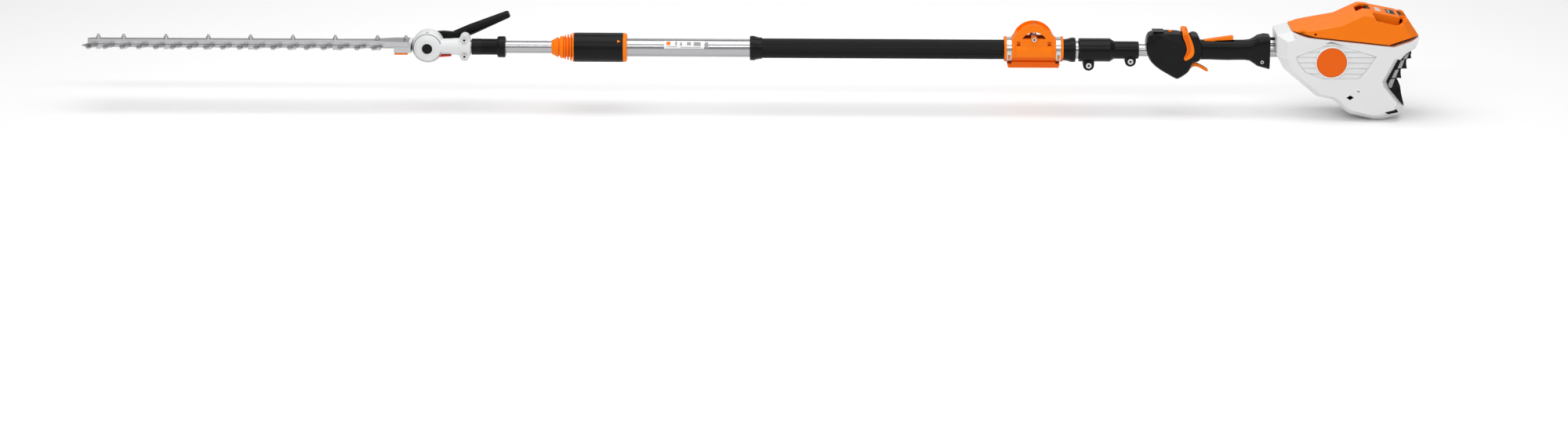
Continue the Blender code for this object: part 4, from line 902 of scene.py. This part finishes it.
# x0, x1, y0, y1, low, high, finish and edge of each plate
topPlates = {
    "charge_panel": (3.0, 21.0, -22.0, 14.0, -0.2, 0.35, "glossBlack", 0.3),
    "charge_key": (12.5, 18.0, -8.0, 6.0, 0.3, 0.7, "blackPlastic", 0.25),
    "battery_label": (-19.5, -8.5, -16.0, 12.0, -0.2, 0.2, "labelWhite", 0.1),
}
chargeLights = dict(count=4, x=(7.0, 10.0), first=-17.0, step=6.5, long=3.2, low=0.3, high=0.55, edge=0.1)
labelLines = dict(count=3, y=(-13.0, 9.0), shorter=3, first=-17.5, step=3.2, wide=1.3, low=0.15, high=0.3, edge=0.05)


def topPlate(name, x0, x1, y0, y1, low, high, finish, width):
    bm = plateMesh([(x0, y0), (x1, y0), (x1, y1), (x0, y1)], low, high, "Z")
    bevelSharp(bm, width)
    return closePiece(name, leaning(bm), finish, "battery_pack")


def makeBatteryTop():
    lights, lines = chargeLights, labelLines
    topPlate("charge_panel", *topPlates["charge_panel"])
    for number in range(lights["count"]):
        y = lights["first"] + number * lights["step"]
        topPlate(f"charge_light_{number + 1}", *lights["x"], y, y + lights["long"], lights["low"], lights["high"],
                 "labelWhite", lights["edge"])
    topPlate("charge_key", *topPlates["charge_key"])
    topPlate("battery_label", *topPlates["battery_label"])
    for number in range(lines["count"]):
        x = lines["first"] + number * lines["step"]
        y0, y1 = lines["y"]
        topPlate(f"battery_label_line_{number + 1}", x, x + lines["wide"], y0, y1 - number * lines["shorter"],
                 lines["low"], lines["high"], "labelGrey", lines["edge"])


makeBatteryTop()
print("battery top ready")


tubeLabel = dict(radius=18.75, start=-173.0, end=-91.0, lowAngle=8.0, highAngle=62.0, tag=(-89.5, -82.5, 12.0, 52.0),
                 marks=((-168.0, -160.0, 30.0, 55.0), (-168.0, -146.0, 18.0, 21.0), (-150.0, -146.5, 30.0, 54.0),
                        (-140.0, -136.5, 26.0, 50.0), (-126.0, -118.0, 30.0, 52.0), (-112.0, -98.0, 26.0, 52.0),
                        (-139.0, -98.0, 15.0, 18.0)), markLift=0.12)


def tubePatch(name, radius, x0, x1, low, high, finish, thick=0.15, steps=14):
    # a film wrapped round the tube's near side; angles count up from straight ahead
    bm = bmesh.new()
    bmesh.ops.create_grid(bm, x_segments=2, y_segments=steps, size=0.5)
    for vert in bm.verts:
        along, around = vert.co.x + 0.5, vert.co.y + 0.5
        angle = radians(low + (high - low) * around)
        vert.co = place(x0 + (x1 - x0) * along, -radius * cos(angle), radius * sin(angle))
    bmesh.ops.recalc_face_normals(bm, faces=bm.faces)
    bmesh.ops.solidify(bm, geom=bm.faces[:], thickness=thick * mm)
    return closePiece(name, bm, finish, "pole")


def makeTubeLabel():
    shape = tubeLabel
    tubePatch("tube_label", shape["radius"], shape["start"], shape["end"], shape["lowAngle"], shape["highAngle"],
              "labelWhite")
    tubePatch("tube_tag", shape["radius"], *shape["tag"], "labelGrey")
    for number, mark in enumerate(shape["marks"], 1):
        finish = "orangePlastic" if number == 1 else "labelGrey"
        tubePatch(f"tube_label_mark_{number}", shape["radius"] + shape["markLift"], *mark, finish, 0.1, 6)


bandShape = dict(xs=(534.7, 635.3), radius=25.9, tilt=23.5, root=1.5, edge=0.2)
# half width, half height, how far it stands out and the finish of each layer of the slot
bandLayers = {
    "edge": (3.1, 6.6, 0.25, "brightSteel"),
    "shade": (2.3, 5.6, 0.4, "blackPlastic"),
    "lug": (1.6, 4.7, 0.8, "orangePlastic"),
}


def turned(bm, degrees):
    # turned about the pole's centre line
    bmesh.ops.translate(bm, verts=bm.verts, vec=(0, 0, -axisHeight))
    bmesh.ops.rotate(bm, verts=bm.verts, cent=(0, 0, 0), matrix=Matrix.Rotation(radians(degrees), 3, "X"))
    bmesh.ops.translate(bm, verts=bm.verts, vec=(0, 0, axisHeight))


def makeBandSlots():
    # a lug of the bracket through the slot in each band
    radius = bandShape["radius"]
    for name, x in zip(("front", "rear"), bandShape["xs"]):
        for part, (wide, tall, proud, finish) in bandLayers.items():
            corner = wide * 0.5
            lower = [(x - wide, -tall + wide), (x - corner, -tall), (x + corner, -tall), (x + wide, -tall + wide)]
            upper = [(x + wide, tall - wide), (x + corner, tall), (x - corner, tall), (x - wide, tall - wide)]
            bm = plateMesh(lower + upper, -radius - proud, -radius + bandShape["root"])
            turned(bm, bandShape["tilt"])
            bevelSharp(bm, bandShape["edge"], 1)
            closePiece(f"band_{part}_{name}", bm, finish, "pole")


screwFaces = {
    "joint_screw_1": dict(x=-582.5, z=17.3, face=-17.5, radius=2.6, body="boom"),
    "joint_screw_2": dict(x=-582.5, z=-17.3, face=-17.5, radius=2.6, body="boom"),
    "reducer_screw_1": dict(x=698.5, z=-29.5, face=-17.5, radius=2.7, body="pole"),
    "reducer_screw_2": dict(x=784.0, z=-20.5, face=-17.5, radius=2.7, body="pole"),
    "handle_screw": dict(x=1053.0, z=-18.0, face=-26.0, radius=2.0, body="pole"),
    "harness_bolt": dict(x=585.0, z=27.0, face=-27.5, radius=2.3, body="pole"),
}
recess = dict(segments=24, lobe=0.78, sunk=0.3, thick=0.36)


def makeScrewSockets():
    # a thin black six-lobed disc on each head, painted shade standing in for its recess
    for name, at in screwFaces.items():
        bm = bmesh.new()
        bmesh.ops.create_circle(bm, cap_ends=True, segments=recess["segments"], radius=at["radius"] * mm)
        for index, vert in enumerate(bm.verts):
            if index % 4 in (0, 1):
                vert.co *= recess["lobe"]
        bmesh.ops.rotate(bm, verts=bm.verts, cent=(0, 0, 0), matrix=Matrix.Rotation(pi / 2, 3, "X"))
        bmesh.ops.translate(bm, verts=bm.verts, vec=place(at["x"], at["face"] + recess["sunk"], at["z"]))
        made = bmesh.ops.extrude_face_region(bm, geom=bm.faces[:])
        bmesh.ops.translate(bm, verts=vertsOf(made), vec=(0, -recess["thick"] * mm, 0))
        closePiece(name + "_recess", bm, "blackPlastic", at["body"])


headMarks = dict(
    hub=[(20.2, 0), (20.2, 12.6), (21.6, 12.6), (22.2, 12.0), (22.2, 0)], hubPlace=(-658.5, 0, 0), hubSteps=48,
    strip=[(-634, -19.4), (-610, -17.6), (-610, -16.2), (-634, -16.2)], stripSides=(-13.0, 5.0), stripEdge=0.3,
    pointer=[(-660.5, 32.2), (-660.0, 35.2), (-656.6, 35.2), (-656.0, 32.2)], pointerSides=(-12.0, -2.0),
    arrow=[(-268.5, 3.4), (-262.0, 0.0), (-268.5, -3.4)], arrowSides=(-30.35, -29.4), arrowTurn=-38,
)


def makeHeadMarks():
    # the hub ring, the orange strip under the neck darkened to red-brown as painted shade, the index pointer and the
    # arrow on the twist clamp
    marks = headMarks
    spun("pivot_ring", marks["hub"], "castWhite", "boom", "", marks["hubSteps"], marks["hubPlace"], facing=True,
         closed=False)
    plate("neck_strip", marks["strip"], *marks["stripSides"], "shadedOrangeStrip", "boom", width=marks["stripEdge"])
    plate("index_pointer", marks["pointer"], *marks["pointerSides"], "castWhite", "boom")
    arrow = plateMesh(marks["arrow"], *marks["arrowSides"])
    turned(arrow, marks["arrowTurn"])
    closePiece("clamp_arrow", arrow, "orangePlastic", "twist_clamp")


cableShape = dict(start=1061.0, end=1092.0, z=25.5, root=2.5, rib=3.55, step=2.1, firstRib=9.0, lastRib=8.0)
strandShape = dict(start=1060.0, end=1090.0, radius=1.1, at=(0, -2.0, 15.4))


def makeCable():
    shape, strand = cableShape, strandShape
    profile = [(shape["start"], 0.0), (shape["start"], shape["root"])]
    at = shape["start"] + shape["firstRib"]
    while at < shape["end"] - shape["lastRib"]:
        profile += [(at - 0.75, shape["root"]), (at - 0.45, shape["rib"]), (at + 0.45, shape["rib"]),
                    (at + 0.75, shape["root"])]
        at += shape["step"]
    profile += [(shape["end"], shape["root"]), (shape["end"], 0.0)]
    thin = [(strand["start"], 0.0), (strand["start"], strand["radius"]), (strand["end"], strand["radius"]),
            (strand["end"], 0.0)]
    spun("cable_strand", thin, "blackRubber", "pole", "", 16, strand["at"], closed=False)
    spun("control_cable_piece", profile, "blackRubber", "pole", "control_cable", 32, (0, 0, shape["z"]), closed=False)


makeTubeLabel()
makeBandSlots()
makeScrewSockets()
makeHeadMarks()
makeCable()
print("labels and fittings ready")
